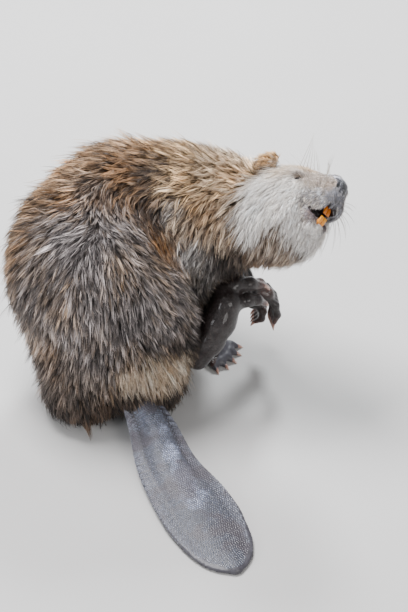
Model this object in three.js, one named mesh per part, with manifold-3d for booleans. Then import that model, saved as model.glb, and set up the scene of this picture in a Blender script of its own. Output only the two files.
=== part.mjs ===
// A Eurasian beaver, life size, sitting on its rump with the right hind foot raised to scratch its throat.
// Units are millimetres.  +X is the way the body faces, +Y is the animal's left, +Z is up.
// The body is one smooth distance field built from named masses.  The field is turned into a mesh at the
// tips of the coat, and the mesh is parted by thin cuts into the pieces a person would name.
import * as THREE from 'three';
import { mergeVertices } from 'three/addons/utils/BufferGeometryUtils.js';
import Module from 'manifold-3d';

const wasm = await Module();
wasm.setup();

// ---------- driving dimensions ----------
const GAP = 0.5;                     // between two pieces that touch
const LIMB_GAP = 1.4;                // the same, around the coarser meshes of feet and hands
const FLOOR_CUT = 600;               // half side of the block that trims everything to the floor
const REACH = 420;                   // half side of the blocks that part the body

// The head frame: its origin is the tip of the nose.
const NOSE_TIP = [338, -20, 361];
const HEAD_FORWARD = [0.79, -0.39, 0.48];
const HEAD_UP = [0.26, 0.91, 0.33];

const EYE_RADIUS = 6;
const EYE_PLACE = [-54, 34, 5];      // in the head frame, mirrored for the right eye
const CELL = { trunk: 40, head: 14.5, hand: 8, foot: 11.5, arm: 14.5 };

// ---------- small vector helpers ----------
const add = (a, b) => [a[0] + b[0], a[1] + b[1], a[2] + b[2]];
const sub = (a, b) => [a[0] - b[0], a[1] - b[1], a[2] - b[2]];
const scale = (a, s) => [a[0] * s, a[1] * s, a[2] * s];
const dot = (a, b) => a[0] * b[0] + a[1] * b[1] + a[2] * b[2];
const cross = (a, b) => [a[1] * b[2] - a[2] * b[1], a[2] * b[0] - a[0] * b[2], a[0] * b[1] - a[1] * b[0]];
const unit = (a) => scale(a, 1 / Math.hypot(...a));
const clamp = (x, low, high) => Math.min(Math.max(x, low), high);

// Three axes that point forward, left and up.
function axes(forward, up) {
  const f = unit(forward);
  const l = unit(cross(up, f));
  return [f, l, cross(f, l)];
}

const HEAD_AXES = axes(HEAD_FORWARD, HEAD_UP);
const toHead = (p) => {
  const q = sub(p, NOSE_TIP);
  return HEAD_AXES.map((axis) => dot(q, axis));
};
const fromHead = (q) => HEAD_AXES.reduce((sum, axis, i) => add(sum, scale(axis, q[i])), NOSE_TIP);

// ---------- distance fields ----------
// Distance to an ellipsoid, good near its surface.
function ball(p, centre, radii, turned) {
  let q = sub(p, centre);
  if (turned) q = turned.map((axis) => dot(q, axis));
  const k0 = Math.hypot(q[0] / radii[0], q[1] / radii[1], q[2] / radii[2]);
  const k1 = Math.hypot(q[0] / radii[0] ** 2, q[1] / radii[1] ** 2, q[2] / radii[2] ** 2);
  return k0 * (k0 - 1) / Math.max(k1, 1e-9);
}

// Distance to a cone with round ends.
function cone(p, a, b, ra, rb) {
  const ba = sub(b, a);
  const pa = sub(p, a);
  const t = clamp(dot(pa, ba) / dot(ba, ba), 0, 1);
  return Math.hypot(...sub(pa, scale(ba, t))) - (ra + (rb - ra) * t);
}

// Two distances joined with a fillet about k wide.
function blend(a, b, k) {
  const h = Math.max(k - Math.abs(a - b), 0) / k;
  return Math.min(a, b) - h * h * k * 0.25;
}

// A row of joints [x, y, z, radius], joined by round cones.
function chain(p, joints, k) {
  let d = Infinity;
  for (let i = 0; i + 1 < joints.length; i++) {
    const [a, b] = [joints[i], joints[i + 1]];
    const link = cone(p, a, b, a[3], b[3]);
    d = i === 0 ? link : blend(d, link, k);
  }
  return d;
}

// ---------- head ----------
function headField(p) {
  const q = toHead(p);
  const side = [q[0], Math.abs(q[1]), q[2]];
  const braincase = ball(q, [-98, 0, -8], [62, 55, 50]);
  const muzzle = cone(q, [-20, 0, -6], [-66, 0, -8], 23, 38);
  const whiskerPad = ball(side, [-24, 13, -23], [22, 15, 20]);
  const jaw = cone(q, [-40, 0, -52], [-100, 0, -56], 15, 44);
  const cheek = ball(side, [-88, 30, -40], [46, 32, 44]);
  let d = blend(braincase, muzzle, 18);
  d = blend(d, whiskerPad, 8);
  d = blend(d, jaw, 14);
  return blend(d, cheek, 22);
}

// Nose pad and ears, as eggs in head coordinates.
const NOSE_PAD = { centre: [-7, 0, 1], radii: [13, 18, 14] };
const EAR = { centre: [-105, 44, 31], radii: [24, 8, 14], forward: [1, 0.3, 0.1], up: [0, 0.45, 0.9] };

// ---------- trunk ----------
function trunkField(p) {
  const back = ball(p, [38, 48, 232], [124, 110, 130]);
  const shoulders = ball(p, [116, 38, 252], [92, 92, 104]);
  const haunchLeft = ball(p, [60, 78, 130], [105, 78, 105]);
  const belly = ball(p, [85, 15, 125], [75, 85, 100]);
  const haunchRight = ball(p, [0, -16, 193], [131, 116, 131]);
  const rump = ball(p, [20, -44, 92], [122, 98, 101]);
  const tailRoot = cone(p, [28, -70, 66], [50, -112, 46], 60, 32);
  const seatRight = ball(p, [-22, -92, 46], [66, 58, 53]);
  const seatLeft = ball(p, [86, -78, 50], [42, 46, 55]);
  let upper = blend(back, shoulders, 50);
  upper = blend(upper, haunchLeft, 40);
  upper = blend(upper, belly, 40);
  upper = blend(upper, haunchRight, clamp(8 + (20 - p[0]) * 0.7, 8, 90));
  let lower = blend(rump, tailRoot, 20);
  lower = blend(lower, seatRight, 20);
  lower = blend(lower, seatLeft, 20);
  return blend(upper, lower, clamp(12 - (60 + p[0]) * 0.7, 12, 60));
}

function neckField(p) {
  const nape = cone(p, fromHead([-122, 0, -30]), [140, 42, 268], 54, 90);
  const throat = cone(p, fromHead([-88, 0, -62]), [168, 16, 236], 40, 54);
  const ruff = ball(p, [186, 58, 306], [44, 44, 44]);
  return blend(blend(nape, throat, 30), ruff, 24);
}

function bodyField(p) {
  const d = blend(trunkField(p), neckField(p), 36);
  return blend(d, headField(p), 24);
}

// ---------- tail ----------
// Each station: x, y, height of the middle, half width, half thickness.
const TAIL = [
  [50, -108, 46, 23, 25],
  [74, -146, 26, 33, 23],
  [98, -217, 13, 43, 14],
  [132, -280, 9, 52, 10],
  [157, -329, 7, 50, 8],
  [181, -375, 5, 36, 6],
  [193, -402, 4, 10, 5],
];

// The tail as rings along a smooth line through the stations, closed at both ends.
function tailSolid(grow = 0) {
  const rings = 14;
  const sides = 12;
  const line = new THREE.CatmullRomCurve3(TAIL.map(([x, y, z]) => new THREE.Vector3(x, y, z)));
  const sizes = TAIL.map(([, , , wide, thick]) => new THREE.Vector3(wide, thick, 0));
  const size = new THREE.CatmullRomCurve3(sizes);
  const positions = [];
  for (let i = 0; i <= rings; i++) {
    const t = i / rings;
    const centre = line.getPoint(t);
    const way = line.getTangent(t).setZ(0).normalize();
    const { x: wide, y: thick } = size.getPoint(t);
    for (let j = 0; j < sides; j++) {
      const angle = 2 * Math.PI * j / sides;
      const across = (wide + grow) * Math.cos(angle);
      const up = (thick + grow) * Math.sin(angle);
      positions.push(centre.x + way.y * across, centre.y - way.x * across, centre.z + up);
    }
  }
  const first = line.getPoint(0);
  const last = line.getPoint(1);
  const endWay = line.getTangent(1).multiplyScalar(3 + grow);
  positions.push(first.x, first.y, first.z);
  positions.push(last.x + endWay.x, last.y + endWay.y, last.z);
  const triangles = [];
  const startCap = (rings + 1) * sides;
  for (let j = 0; j < sides; j++) {
    const k = (j + 1) % sides;
    triangles.push(startCap, j, k);
    triangles.push(startCap + 1, rings * sides + k, rings * sides + j);
    for (let i = 0; i < rings; i++) {
      const [a, b] = [i * sides, (i + 1) * sides];
      triangles.push(a + j, b + k, a + k, a + j, b + j, b + k);
    }
  }
  return fromArrays(positions, triangles);
}

// ---------- legs ----------
const shankField = (p) => cone(p, [72, -62, 205], [134, -62, 96], 52, 27);

// The raised right hind foot, from its heel to the ball, and its toes.
const RAISED_FOOT = [[140, -68, 83, 17], [157, -62, 113, 20], [170, -54, 142, 23], [180, -42, 165, 22]];
const RAISED_WEB = 9;
const RAISED_TOES = [
  [[191, -38, 160, 11], [210, -32, 162.5, 10], [224, -26, 157, 8], [234, -20, 146, 4.5]],
  [[174, -30, 178, 12], [193, -22, 182, 11.5], [214, -14, 177, 10], [231, -8, 168, 5]],
  [[190, -18, 172, 10], [212, -6, 170, 9], [228, 2, 163, 7.5], [236, 6, 154, 4.5]],
  [[188, -8, 182, 10], [198, -2, 193, 9], [205, 2, 202, 7.5], [209, 4, 209, 4.5]],
  [[192, 2, 158, 10], [214, 10, 156, 9], [229, 15, 148, 7.5], [237, 18, 139, 4.5]],
];

// The left hind foot stands flat, with its toes spread.
const FLAT_FOOT = [[96, 70, 22, 21], [122, 56, 18, 18], [150, 38, 14, 15]];
const FLAT_TOES = [-2, -1, 0, 1, 2].map((i) => {
  const angle = -0.55 + i * 0.3;
  const [x, y] = [146, 38];
  const at = (r) => [x + r * Math.cos(angle), y + r * Math.sin(angle)];
  return [[...at(0), 12, 10], [...at(28), 9, 8], [...at(42), 6, 6], [...at(50), 3.5, 4]];
});

// ---------- arms ----------
const ARM_RIGHT = [[126, -22, 268, 44], [150, -16, 200, 21], [190, 11, 158, 14], [221, 20, 136, 12]];
const HAND_RIGHT = [[221, 20, 136, 12], [238, 18, 127, 12]];
const FINGERS_RIGHT = [0, 1, 2, 3].map((i) => {
  const y = 10 + 7.5 * i;
  return [
    [238, y + 3, 126, 6.5],
    [251 - i, y, 113, 5.8],
    [254 - 2 * i, y - 2, 96, 5.2],
    [250 - 2 * i, y - 3, 83, 4],
  ];
});
const ARM_LEFT = [[150, 80, 250, 34], [178, 78, 190, 20], [206, 60, 116, 14]];
const HAND_LEFT = [[206, 60, 116, 14], [221, 50, 88, 15]];
const FINGERS_LEFT = [0, 1, 2, 3].map((i) => {
  const y = 42 + 8 * i;
  return [[225, y, 87, 6.5], [234, y - 6, 77, 5.8], [232, y - 10, 66, 5], [224, y - 9, 60, 4]];
});

// A foot or hand: the middle of it, and its digits.  A large web joins the digits of a hind foot.
const footField = (middle, digits, web) => (p) => {
  const d = chain(p, middle, 10);
  return digits.reduce((sum, digit) => blend(sum, chain(p, digit, 4), web), d);
};

// ---------- turning a field into a solid ----------
function fromArrays(positions, triangles) {
  return new wasm.Manifold(new wasm.Mesh({
    numProp: 3,
    vertProperties: new Float32Array(positions),
    triVerts: new Uint32Array(triangles),
  }));
}

// Naive surface nets: one vertex in each cell the surface crosses, one quad for each crossed edge.
// With grow, each vertex then moves out along the field's slope.
function surfaceNet(field, low, high, cell, grow, shift) {
  const count = low.map((value, i) => Math.ceil((high[i] - value) / cell) + 4);
  const start = low.map((value) => value - cell * (1 + shift));
  const inside = (p) => Math.max(...p.map((x, i) => Math.max(low[i] - x, x - high[i])));
  const whole = (p) => Math.max(field(p), inside(p));
  const place = (i, j, k) => [start[0] + i * cell, start[1] + j * cell, start[2] + k * cell];
  const index = (i, j, k) => (k * count[1] + j) * count[0] + i;
  const value = new Float64Array(count[0] * count[1] * count[2]);
  for (let k = 0; k < count[2]; k++) {
    for (let j = 0; j < count[1]; j++) {
      for (let i = 0; i < count[0]; i++) {
        value[index(i, j, k)] = whole(place(i, j, k)) || 1e-6;
      }
    }
  }

  // Move a vertex onto the surface, by less than half a cell.
  const settle = (p) => {
    const slope = [0, 1, 2].map((n) => {
      const ahead = p.map((x, m) => (m === n ? x + 0.5 : x));
      const behind = p.map((x, m) => (m === n ? x - 0.5 : x));
      return whole(ahead) - whole(behind);
    });
    const far = clamp(whole(p) / Math.max(dot(slope, slope), 0.2), -0.4 * cell, 0.4 * cell);
    return add(sub(p, scale(slope, far)), scale(unit(slope), grow));
  };

  const corners = [0, 1, 2, 3, 4, 5, 6, 7].map((c) => [c & 1, (c >> 1) & 1, (c >> 2) & 1]);
  const vertexOf = new Map();
  const positions = [];
  const cellVertex = (i, j, k) => {
    const key = index(i, j, k);
    if (vertexOf.has(key)) return vertexOf.get(key);
    let sum = [0, 0, 0];
    let crossings = 0;
    for (const a of corners) {
      for (let axis = 0; axis < 3; axis++) {
        if (a[axis]) continue;
        const b = a.map((v, n) => (n === axis ? 1 : v));
        const va = value[index(i + a[0], j + a[1], k + a[2])];
        const vb = value[index(i + b[0], j + b[1], k + b[2])];
        if ((va < 0) === (vb < 0)) continue;
        const pa = place(i + a[0], j + a[1], k + a[2]);
        const step = cell * va / (va - vb);
        sum = add(sum, pa.map((x, n) => (n === axis ? x + step : x)));
        crossings++;
      }
    }
    vertexOf.set(key, positions.length / 3);
    positions.push(...settle(scale(sum, 1 / crossings)));
    return vertexOf.get(key);
  };

  const triangles = [];
  const next = [[1, 0, 0], [0, 1, 0], [0, 0, 1]];
  for (let k = 1; k < count[2] - 1; k++) {
    for (let j = 1; j < count[1] - 1; j++) {
      for (let i = 1; i < count[0] - 1; i++) {
        const here = value[index(i, j, k)] < 0;
        for (let axis = 0; axis < 3; axis++) {
          const n = next[axis];
          if (here === value[index(i + n[0], j + n[1], k + n[2])] < 0) continue;
          const u = next[(axis + 1) % 3];
          const v = next[(axis + 2) % 3];
          const ring = [[0, 0], [1, 0], [1, 1], [0, 1]].map(([a, b]) =>
            cellVertex(i - a * u[0] - b * v[0], j - a * u[1] - b * v[1], k - a * u[2] - b * v[2]));
          if (!here) ring.reverse();
          triangles.push(ring[0], ring[1], ring[2], ring[0], ring[2], ring[3]);
        }
      }
    }
  }
  return { positions, triangles };
}

// True when every edge has exactly two triangles.
function isClosed(triangles) {
  const uses = new Map();
  for (let t = 0; t < triangles.length; t++) {
    const a = triangles[t];
    const b = triangles[t % 3 === 2 ? t - 2 : t + 1];
    const key = Math.min(a, b) * 1e6 + Math.max(a, b);
    uses.set(key, (uses.get(key) ?? 0) + 1);
  }
  return [...uses.values()].every((n) => n === 2);
}

// A net whose grid is moved along and made finer, until no cell holds two sheets of the surface.
function polygonise(field, low, high, cell, grow = 0) {
  for (let size = cell; size > cell / 2; size *= 0.97) {
    for (let shift = 0; shift < 1; shift += 1 / 6) {
      const { positions, triangles } = surfaceNet(field, low, high, size, grow, shift);
      if (isClosed(triangles)) return fromArrays(positions, triangles);
    }
  }
  throw new Error('no grid near this cell size gives a closed mesh');
}

// A three.js geometry as a solid, moved by a matrix.
function solid(geometry, matrix = new THREE.Matrix4()) {
  const shape = geometry.clone().applyMatrix4(matrix);
  shape.deleteAttribute('normal');
  shape.deleteAttribute('uv');
  const welded = mergeVertices(shape, 1e-4);
  return fromArrays(welded.attributes.position.array, welded.index.array);
}

// A matrix that turns local axes to the given three and moves the origin to a place.
function framed(place, [x, y, z]) {
  const matrix = new THREE.Matrix4();
  matrix.makeBasis(new THREE.Vector3(...x), new THREE.Vector3(...y), new THREE.Vector3(...z));
  return matrix.setPosition(...place);
}

// A smooth egg with the given half sizes.
function egg(centre, radii, turned = [[1, 0, 0], [0, 1, 0], [0, 0, 1]], detail = 5) {
  const geometry = new THREE.IcosahedronGeometry(1, detail).scale(...radii);
  return solid(geometry, framed(centre, turned));
}

// Everything on the far side of a plane, as a large block.
function halfSpace(point, normal) {
  const z = unit(normal);
  const x = unit(cross(Math.abs(z[2]) < 0.9 ? [0, 0, 1] : [1, 0, 0], z));
  const box = new THREE.BoxGeometry(2 * REACH, 2 * REACH, 2 * REACH).translate(0, 0, REACH);
  return solid(box, framed(point, [x, cross(z, x), z]));
}

// ---------- the pieces, in the order in which they claim their place ----------
// Each piece has a solid and a slightly larger one, which is cut from every later piece.
const pieces = [];
const claim = (name, look, shape, grown) => pieces.push({ name, look, shape, grown });

// A piece made from a field of its own inside a box, with extra bits such as claws joined on.
function claimField(name, look, field, [low, high], cell, extras = []) {
  let shape = polygonise(field, low, high, cell);
  let room = polygonise(field, low, high, cell, LIMB_GAP).add(shape);
  for (const extra of extras) {
    shape = shape.add(extra());
    room = room.add(extra(LIMB_GAP));
  }
  claim(name, look, shape, room);
}

// The box around a set of joints, with room for their radii.
function boxAround(joints, margin = 6) {
  const low = [0, 1, 2].map((i) => Math.min(...joints.map((j) => j[i] - j[3])) - margin);
  const high = [0, 1, 2].map((i) => Math.max(...joints.map((j) => j[i] + j[3])) + margin);
  return [low, high];
}

// A claw on the last joint of a digit: a pointed spike along it.
const CLAW_SIDES = 5;
function claw(digit, length, radius) {
  const tip = digit.at(-1);
  const way = unit(sub(tip, digit.at(-2)));
  const side = unit(cross(way, [0.13, 0.21, 0.97]));
  return (grow = 0) => {
    const spike = new THREE.ConeGeometry(radius + grow, length + 2 * grow, CLAW_SIDES);
    spike.translate(0, length / 2, 0);
    return solid(spike, framed(tip.slice(0, 3), [side, way, cross(side, way)]));
  };
}
const claws = (digits, length, radius) => digits.map((digit) => claw(digit, length, radius));

// Eyes.
for (const [name, side] of [['eye_right', -1], ['eye_left', 1]]) {
  const place = fromHead([EYE_PLACE[0], side * EYE_PLACE[1], EYE_PLACE[2]]);
  const round = (radius) => egg(place, [radius, radius, radius], HEAD_AXES, 1);
  claim(name, 'eye', round(EYE_RADIUS), round(EYE_RADIUS + GAP));
}

// Incisors: a pair above and a pair below, each an outline in the head's plane of symmetry, made wide.
const PAIR_WIDTH = 15;
const UPPER_PAIR = [[-31, -22], [-22, -20], [-15, -29], [-14, -36], [-18, -42], [-22, -38], [-25, -32]];
const LOWER_PAIR = [[-38, -66], [-30, -68], [-22, -58], [-18, -50], [-20, -45], [-26, -48], [-31, -56]];

// A block whose outline lies in the head's plane of symmetry (x forward, z up), spread evenly to both sides.
function headBlock(outline, width) {
  const shape = new THREE.Shape(outline.map(([x, z]) => new THREE.Vector2(x, z)));
  const block = new THREE.ExtrudeGeometry(shape, { depth: width, bevelEnabled: false });
  block.translate(0, 0, -width / 2);
  const [forward, left, up] = HEAD_AXES;
  return solid(block, framed(NOSE_TIP, [forward, up, scale(left, -1)]));
}

function growOutline(outline, by) {
  const mean = (axis) => outline.reduce((sum, point) => sum + point[axis], 0) / outline.length;
  const middle = [mean(0), mean(1)];
  return outline.map(([x, z]) => {
    const [dx, dz] = [x - middle[0], z - middle[1]];
    const far = Math.hypot(dx, dz);
    return [x + dx / far * by, z + dz / far * by];
  });
}
for (const [name, outline] of [['incisors_upper', UPPER_PAIR], ['incisors_lower', LOWER_PAIR]]) {
  const room = headBlock(growOutline(outline, 2 * GAP), PAIR_WIDTH + 2 * GAP);
  claim(name, 'enamel', headBlock(outline, PAIR_WIDTH), room);
}

// Nose pad.
const nose = (grow) => egg(fromHead(NOSE_PAD.centre), NOSE_PAD.radii.map((r) => r + grow), HEAD_AXES, 2);
claim('nose', 'nose', nose(0), nose(GAP));

// Ears.
for (const [name, side] of [['ear_right', -1], ['ear_left', 1]]) {
  const [x, y, z] = EAR.centre;
  const local = axes(EAR.forward, EAR.up).map(([ax, ay, az]) => [ax, side * ay, az]);
  const turned = local.map((axis) => sub(fromHead(axis), NOSE_TIP));
  if (side < 0) turned[1] = scale(turned[1], -1);
  const shape = (grow) => egg(fromHead([x, side * y, z]), EAR.radii.map((r) => r + grow), turned, 1);
  claim(name, 'coat', shape(0), shape(GAP));
}

// Hands, forearms, feet and the raised shank.
claimField('hand_right', 'skin', footField(HAND_RIGHT, FINGERS_RIGHT, 5),
  boxAround([...HAND_RIGHT, ...FINGERS_RIGHT.flat()]), CELL.hand, claws(FINGERS_RIGHT, 11, 2.2));
claimField('hand_left', 'skin', footField(HAND_LEFT, FINGERS_LEFT, 5),
  boxAround([...HAND_LEFT, ...FINGERS_LEFT.flat()]), CELL.hand, claws(FINGERS_LEFT, 11, 2.2));
claimField('foot_hind_right', 'skin', footField(RAISED_FOOT, RAISED_TOES, RAISED_WEB),
  boxAround([...RAISED_FOOT, ...RAISED_TOES.flat()]), CELL.foot, claws(RAISED_TOES, 13, 3));
claimField('foot_hind_left', 'skin', footField(FLAT_FOOT, FLAT_TOES, 12),
  boxAround([...FLAT_FOOT, ...FLAT_TOES.flat()]), CELL.foot, claws(FLAT_TOES, 10, 3));
claimField('forearm_right', 'coat', (p) => chain(p, ARM_RIGHT.slice(1), 12),
  boxAround(ARM_RIGHT.slice(1)), CELL.arm);
claimField('forearm_left', 'coat', (p) => chain(p, ARM_LEFT.slice(1), 12),
  boxAround(ARM_LEFT.slice(1)), CELL.arm);
claim('tail', 'scales', tailSolid(), tailSolid(GAP));

// The body, parted by blocks and eggs.
const TRUNK_BOX = [[-160, -190, -20], [300, 190, 400]];
const HEAD_BOX = [[185, -150, 180], [360, 130, 430]];
const shoulderField = (p) => cone(p, ARM_RIGHT[0], ARM_RIGHT[1], ARM_RIGHT[0][3], ARM_RIGHT[1][3]);
const armField = (p) => blend(bodyField(p), shoulderField(p), 16);
const withArms = (p) => {
  const left = cone(p, ARM_LEFT[0], ARM_LEFT[1], ARM_LEFT[0][3], ARM_LEFT[1][3]);
  return blend(blend(armField(p), left, 16), shankField(p), 20);
};
const trunkMesh = polygonise(withArms, ...TRUNK_BOX, CELL.trunk);
const headMesh = polygonise(bodyField, ...HEAD_BOX, CELL.head);

const MOUTH = [[-44, -38], [12, -37], [12, -60], [-27, -49]];
const JAW = [[-80, -39], [-44, -39], [-27, -49], [12, -60], [12, -140], [-80, -140]];
const HEAD_PLANE = -124;
const NECK_PLANE = { place: [160, 35, 265], way: [0.955, -0.134, 0.277] };
const CHEST_PLANE = { place: [92, 35, 230], way: [0.9, 0.05, 0.43] };
const RUMP_TOP = 112;
const headSpace = (shift) => halfSpace(fromHead([HEAD_PLANE + shift, 0, 0]), HEAD_AXES[0]);
const bodySpace = ({ place, way }, shift) => halfSpace(add(place, scale(way, shift)), way);
const rumpSpace = (shift) => halfSpace([0, 0, RUMP_TOP - shift], [0, 0, -1]);

const HEAD_WIDTH = 150;
const openHead = headMesh.intersect(headSpace(0)).subtract(headBlock(MOUTH, HEAD_WIDTH));
const jawRoom = headBlock(growOutline(JAW, 2 * GAP), HEAD_WIDTH + 2);
claim('lower_jaw', 'coat', openHead.intersect(headBlock(JAW, HEAD_WIDTH)), jawRoom);
claim('head', 'coat', openHead, headSpace(-GAP));
claim('neck', 'coat', trunkMesh.intersect(bodySpace(NECK_PLANE, 0)), bodySpace(NECK_PLANE, -GAP));

const parts = [
  ['upper_arm_right', [124, -48, 248], [46, 44, 58]],
  ['upper_arm_left', [158, 108, 230], [42, 44, 56]],
  ['thigh_right', [4, -84, 188], [126, 96, 104]],
  ['thigh_left', [66, 128, 128], [104, 74, 104]],
];
for (const [name, centre, radii] of parts) {
  const shape = (grow) => egg(centre, radii.map((r) => r + grow), undefined, 1);
  claim(name, 'coat', trunkMesh.intersect(shape(0)), shape(GAP));
}
claim('rump', 'coat', trunkMesh.intersect(rumpSpace(0)), rumpSpace(-GAP));
claim('chest', 'coat', trunkMesh.intersect(bodySpace(CHEST_PLANE, 0)), bodySpace(CHEST_PLANE, -GAP));
claim('back', 'coat', trunkMesh, undefined);

// ---------- materials ----------
const LOOKS = {
  coat: new THREE.MeshStandardMaterial({ color: 0x7a6350, roughness: 0.85, metalness: 0 }),
  skin: new THREE.MeshStandardMaterial({ color: 0x3b3434, roughness: 0.45, metalness: 0 }),
  scales: new THREE.MeshStandardMaterial({ color: 0x5a5660, roughness: 0.4, metalness: 0 }),
  nose: new THREE.MeshStandardMaterial({ color: 0x4c5059, roughness: 0.45, metalness: 0 }),
  eye: new THREE.MeshStandardMaterial({ color: 0x120d0a, roughness: 0.1, metalness: 0 }),
  enamel: new THREE.MeshStandardMaterial({ color: 0xd9861f, roughness: 0.35, metalness: 0 }),
};

// ---------- the finished group ----------
const ground = new THREE.BoxGeometry(2 * FLOOR_CUT, 2 * FLOOR_CUT, 2 * FLOOR_CUT);
const floor = solid(ground.translate(0, 0, -FLOOR_CUT));

// The largest connected body of a solid.
const largest = (shape) => shape.decompose().reduce((best, s) => (s.volume() > best.volume() ? s : best));

function toGeometry(shape) {
  const { vertProperties, triVerts } = shape.getMesh();
  const geometry = new THREE.BufferGeometry();
  geometry.setAttribute('position', new THREE.BufferAttribute(new Float32Array(vertProperties), 3));
  geometry.setIndex([...triVerts]);
  geometry.computeVertexNormals();
  return geometry;
}

const beaver = new THREE.Group();
const taken = [];
for (const { name, look, shape, grown } of pieces) {
  let rest = shape.subtract(floor);
  for (const room of taken) rest = rest.subtract(room);
  const mesh = new THREE.Mesh(toGeometry(largest(rest)), LOOKS[look].clone());
  mesh.name = name;
  beaver.add(mesh);
  if (grown) taken.push(grown);
}

// The origin is under the middle of the bounding box, on the floor.
const box = new THREE.Box3().setFromObject(beaver, true);
const middle = box.getCenter(new THREE.Vector3());
beaver.position.set(-middle.x, -middle.y, -box.min.z);
beaver.updateMatrixWorld(true);

export default beaver;
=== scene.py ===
"""A Eurasian beaver, life size, as a still museum model in its scratching pose.

Lengths are millimetres in the design frame of the part (+X the way the body faces, +Y the
animal's left, +Z up) until `to_world` turns them into metres in the shared frame.
One skin stands inside the coat; tufts, scales, claws, teeth, eyes and whiskers are put on it.
"""
import itertools
import math

import bmesh
import bpy
import numpy as np
from mathutils import Matrix, Vector, kdtree


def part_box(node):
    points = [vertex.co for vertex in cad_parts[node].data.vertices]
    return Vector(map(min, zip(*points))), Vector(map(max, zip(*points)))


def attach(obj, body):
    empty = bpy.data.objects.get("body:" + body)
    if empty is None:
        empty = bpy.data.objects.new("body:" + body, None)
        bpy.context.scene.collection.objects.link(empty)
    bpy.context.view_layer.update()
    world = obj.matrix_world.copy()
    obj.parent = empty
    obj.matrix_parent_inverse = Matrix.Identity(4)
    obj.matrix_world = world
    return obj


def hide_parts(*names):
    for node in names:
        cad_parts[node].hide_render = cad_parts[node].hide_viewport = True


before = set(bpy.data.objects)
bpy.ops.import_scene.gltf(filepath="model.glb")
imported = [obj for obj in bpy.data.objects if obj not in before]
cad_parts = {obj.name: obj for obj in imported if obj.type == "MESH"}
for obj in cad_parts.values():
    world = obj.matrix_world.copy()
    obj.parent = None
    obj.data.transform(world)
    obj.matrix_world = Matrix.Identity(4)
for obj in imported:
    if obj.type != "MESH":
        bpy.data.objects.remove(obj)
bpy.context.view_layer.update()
F = np.float32        # what the fields are worked out in
chance = np.random.default_rng(71)

# ---------- the head frame, and the way from the design frame to the shared frame ----------


def unit(vector):
    vector = np.array(vector, float)
    return vector / np.linalg.norm(vector)


def axes(forward, up):
    """Rows that point forward, left and up."""
    f = unit(forward)
    left = unit(np.cross(up, f))
    return np.array([f, left, np.cross(f, left)])


NOSE_TIP = np.array([338.0, -20.0, 361.0])
HEAD = axes([0.79, -0.39, 0.48], [0.26, 0.91, 0.33])
EYE_PLACE = (-54.0, 34.0, 5.0)
EYE_RADIUS = 6.0


def from_head(point):
    return NOSE_TIP + np.array(point, float) @ HEAD


def to_head(points):
    return (points - NOSE_TIP.astype(F)) @ HEAD.T.astype(F)


def box_middle(node):
    low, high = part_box(node)
    return np.array((low + high) / 2) * 1000


SHIFT = box_middle("eye_right") - from_head([EYE_PLACE[0], -EYE_PLACE[1], EYE_PLACE[2]])


def to_world(points):
    return (np.asarray(points, float) + SHIFT) / 1000


# ---------- distance fields ----------


def ellipsoid(q, radii):
    """Distance to an ellipsoid round the origin, good near its surface."""
    k0 = np.linalg.norm(q / radii, axis=1)
    k1 = np.linalg.norm(q / radii**2, axis=1)
    return k0 * (k0 - 1) / np.maximum(k1, 1e-9)


def ball(p, centre, radii, turned=None):
    """Distance to an ellipsoid, whose own axes are the rows of `turned`."""
    q = p - np.array(centre, F)
    if turned is not None:
        q = q @ np.array(turned, F).T
    return ellipsoid(q, np.array(radii, F))


def cone(p, a, b, radius_a, radius_b):
    """Distance to a cone with round ends."""
    a = np.array(a, F)
    along = np.array(b, F) - a
    t = np.clip((p - a) @ along / (along @ along), 0, 1)
    radius = radius_a + (radius_b - radius_a) * t
    return np.linalg.norm(p - a - t[:, None] * along, axis=1) - radius


def blend(a, b, k):
    """Two fields joined, with a fillet of about k."""
    h = np.maximum(k - np.abs(a - b), 0) / k
    return np.minimum(a, b) - h * h * k * 0.25


def carve(a, b, k):
    """Field a with field b cut out of it, with a rounded edge."""
    return -blend(-a, b, k)


def chain(p, joints, k=4):
    """Cones from joint to joint; a joint is x, y, z, radius."""
    d = None
    for a, b in zip(joints, joints[1:]):
        bone = cone(p, a[:3], b[:3], a[3], b[3])
        d = bone if d is None else blend(d, bone, k)
    return d


def only_near(p, joints, reach, field, *settings):
    """The field, worked out only for the points near the joints; far away it is `reach`."""
    joints = np.array([j[:3] for j in joints])
    near = ((p > joints.min(0) - reach) & (p < joints.max(0) + reach)).all(1)
    d = np.full(len(p), reach, F)
    if near.any():
        d[near] = field(p[near], *settings)
    return d


# ---------- the body's masses, out to the tips of the coat ----------
TRUNK_DEPTH = 13.0    # how deep the coat is there, so how far inside the skin lies
NECK_DEPTH = 13.0
SHANK_DEPTH = 8.0
BARE_DEPTH = 0.4


def trunk_field(p):
    """The trunk: the upper body and haunch, and the rump they sit down on.

    The blends are narrow where the photo shows a fold, in front of the haunch and over the rump,
    and wide behind, where the coat runs smoothly on.
    """
    upper = ball(p, (38, 48, 232), (124, 110, 130))
    upper = blend(upper, ball(p, (116, 38, 252), (92, 92, 104)), 50)
    upper = blend(upper, ball(p, (60, 78, 130), (105, 78, 105)), 40)
    upper = blend(upper, ball(p, (85, 15, 125), (75, 85, 100)), 40)
    haunch = ball(p, (0, -16, 193), (131, 116, 131))
    upper = blend(upper, haunch, np.clip(8 + (20 - p[:, 0]) * 0.7, 8, 90))
    lower = ball(p, (20, -44, 92), (122, 98, 101))
    lower = blend(lower, cone(p, (28, -70, 66), (50, -112, 46), 60, 32), 20)
    lower = blend(lower, ball(p, (-22, -92, 46), (66, 58, 53)), 20)
    lower = blend(lower, ball(p, (86, -78, 50), (42, 46, 55)), 20)
    return blend(upper, lower, np.clip(12 - (60 + p[:, 0]) * 0.7, 12, 60))


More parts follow.
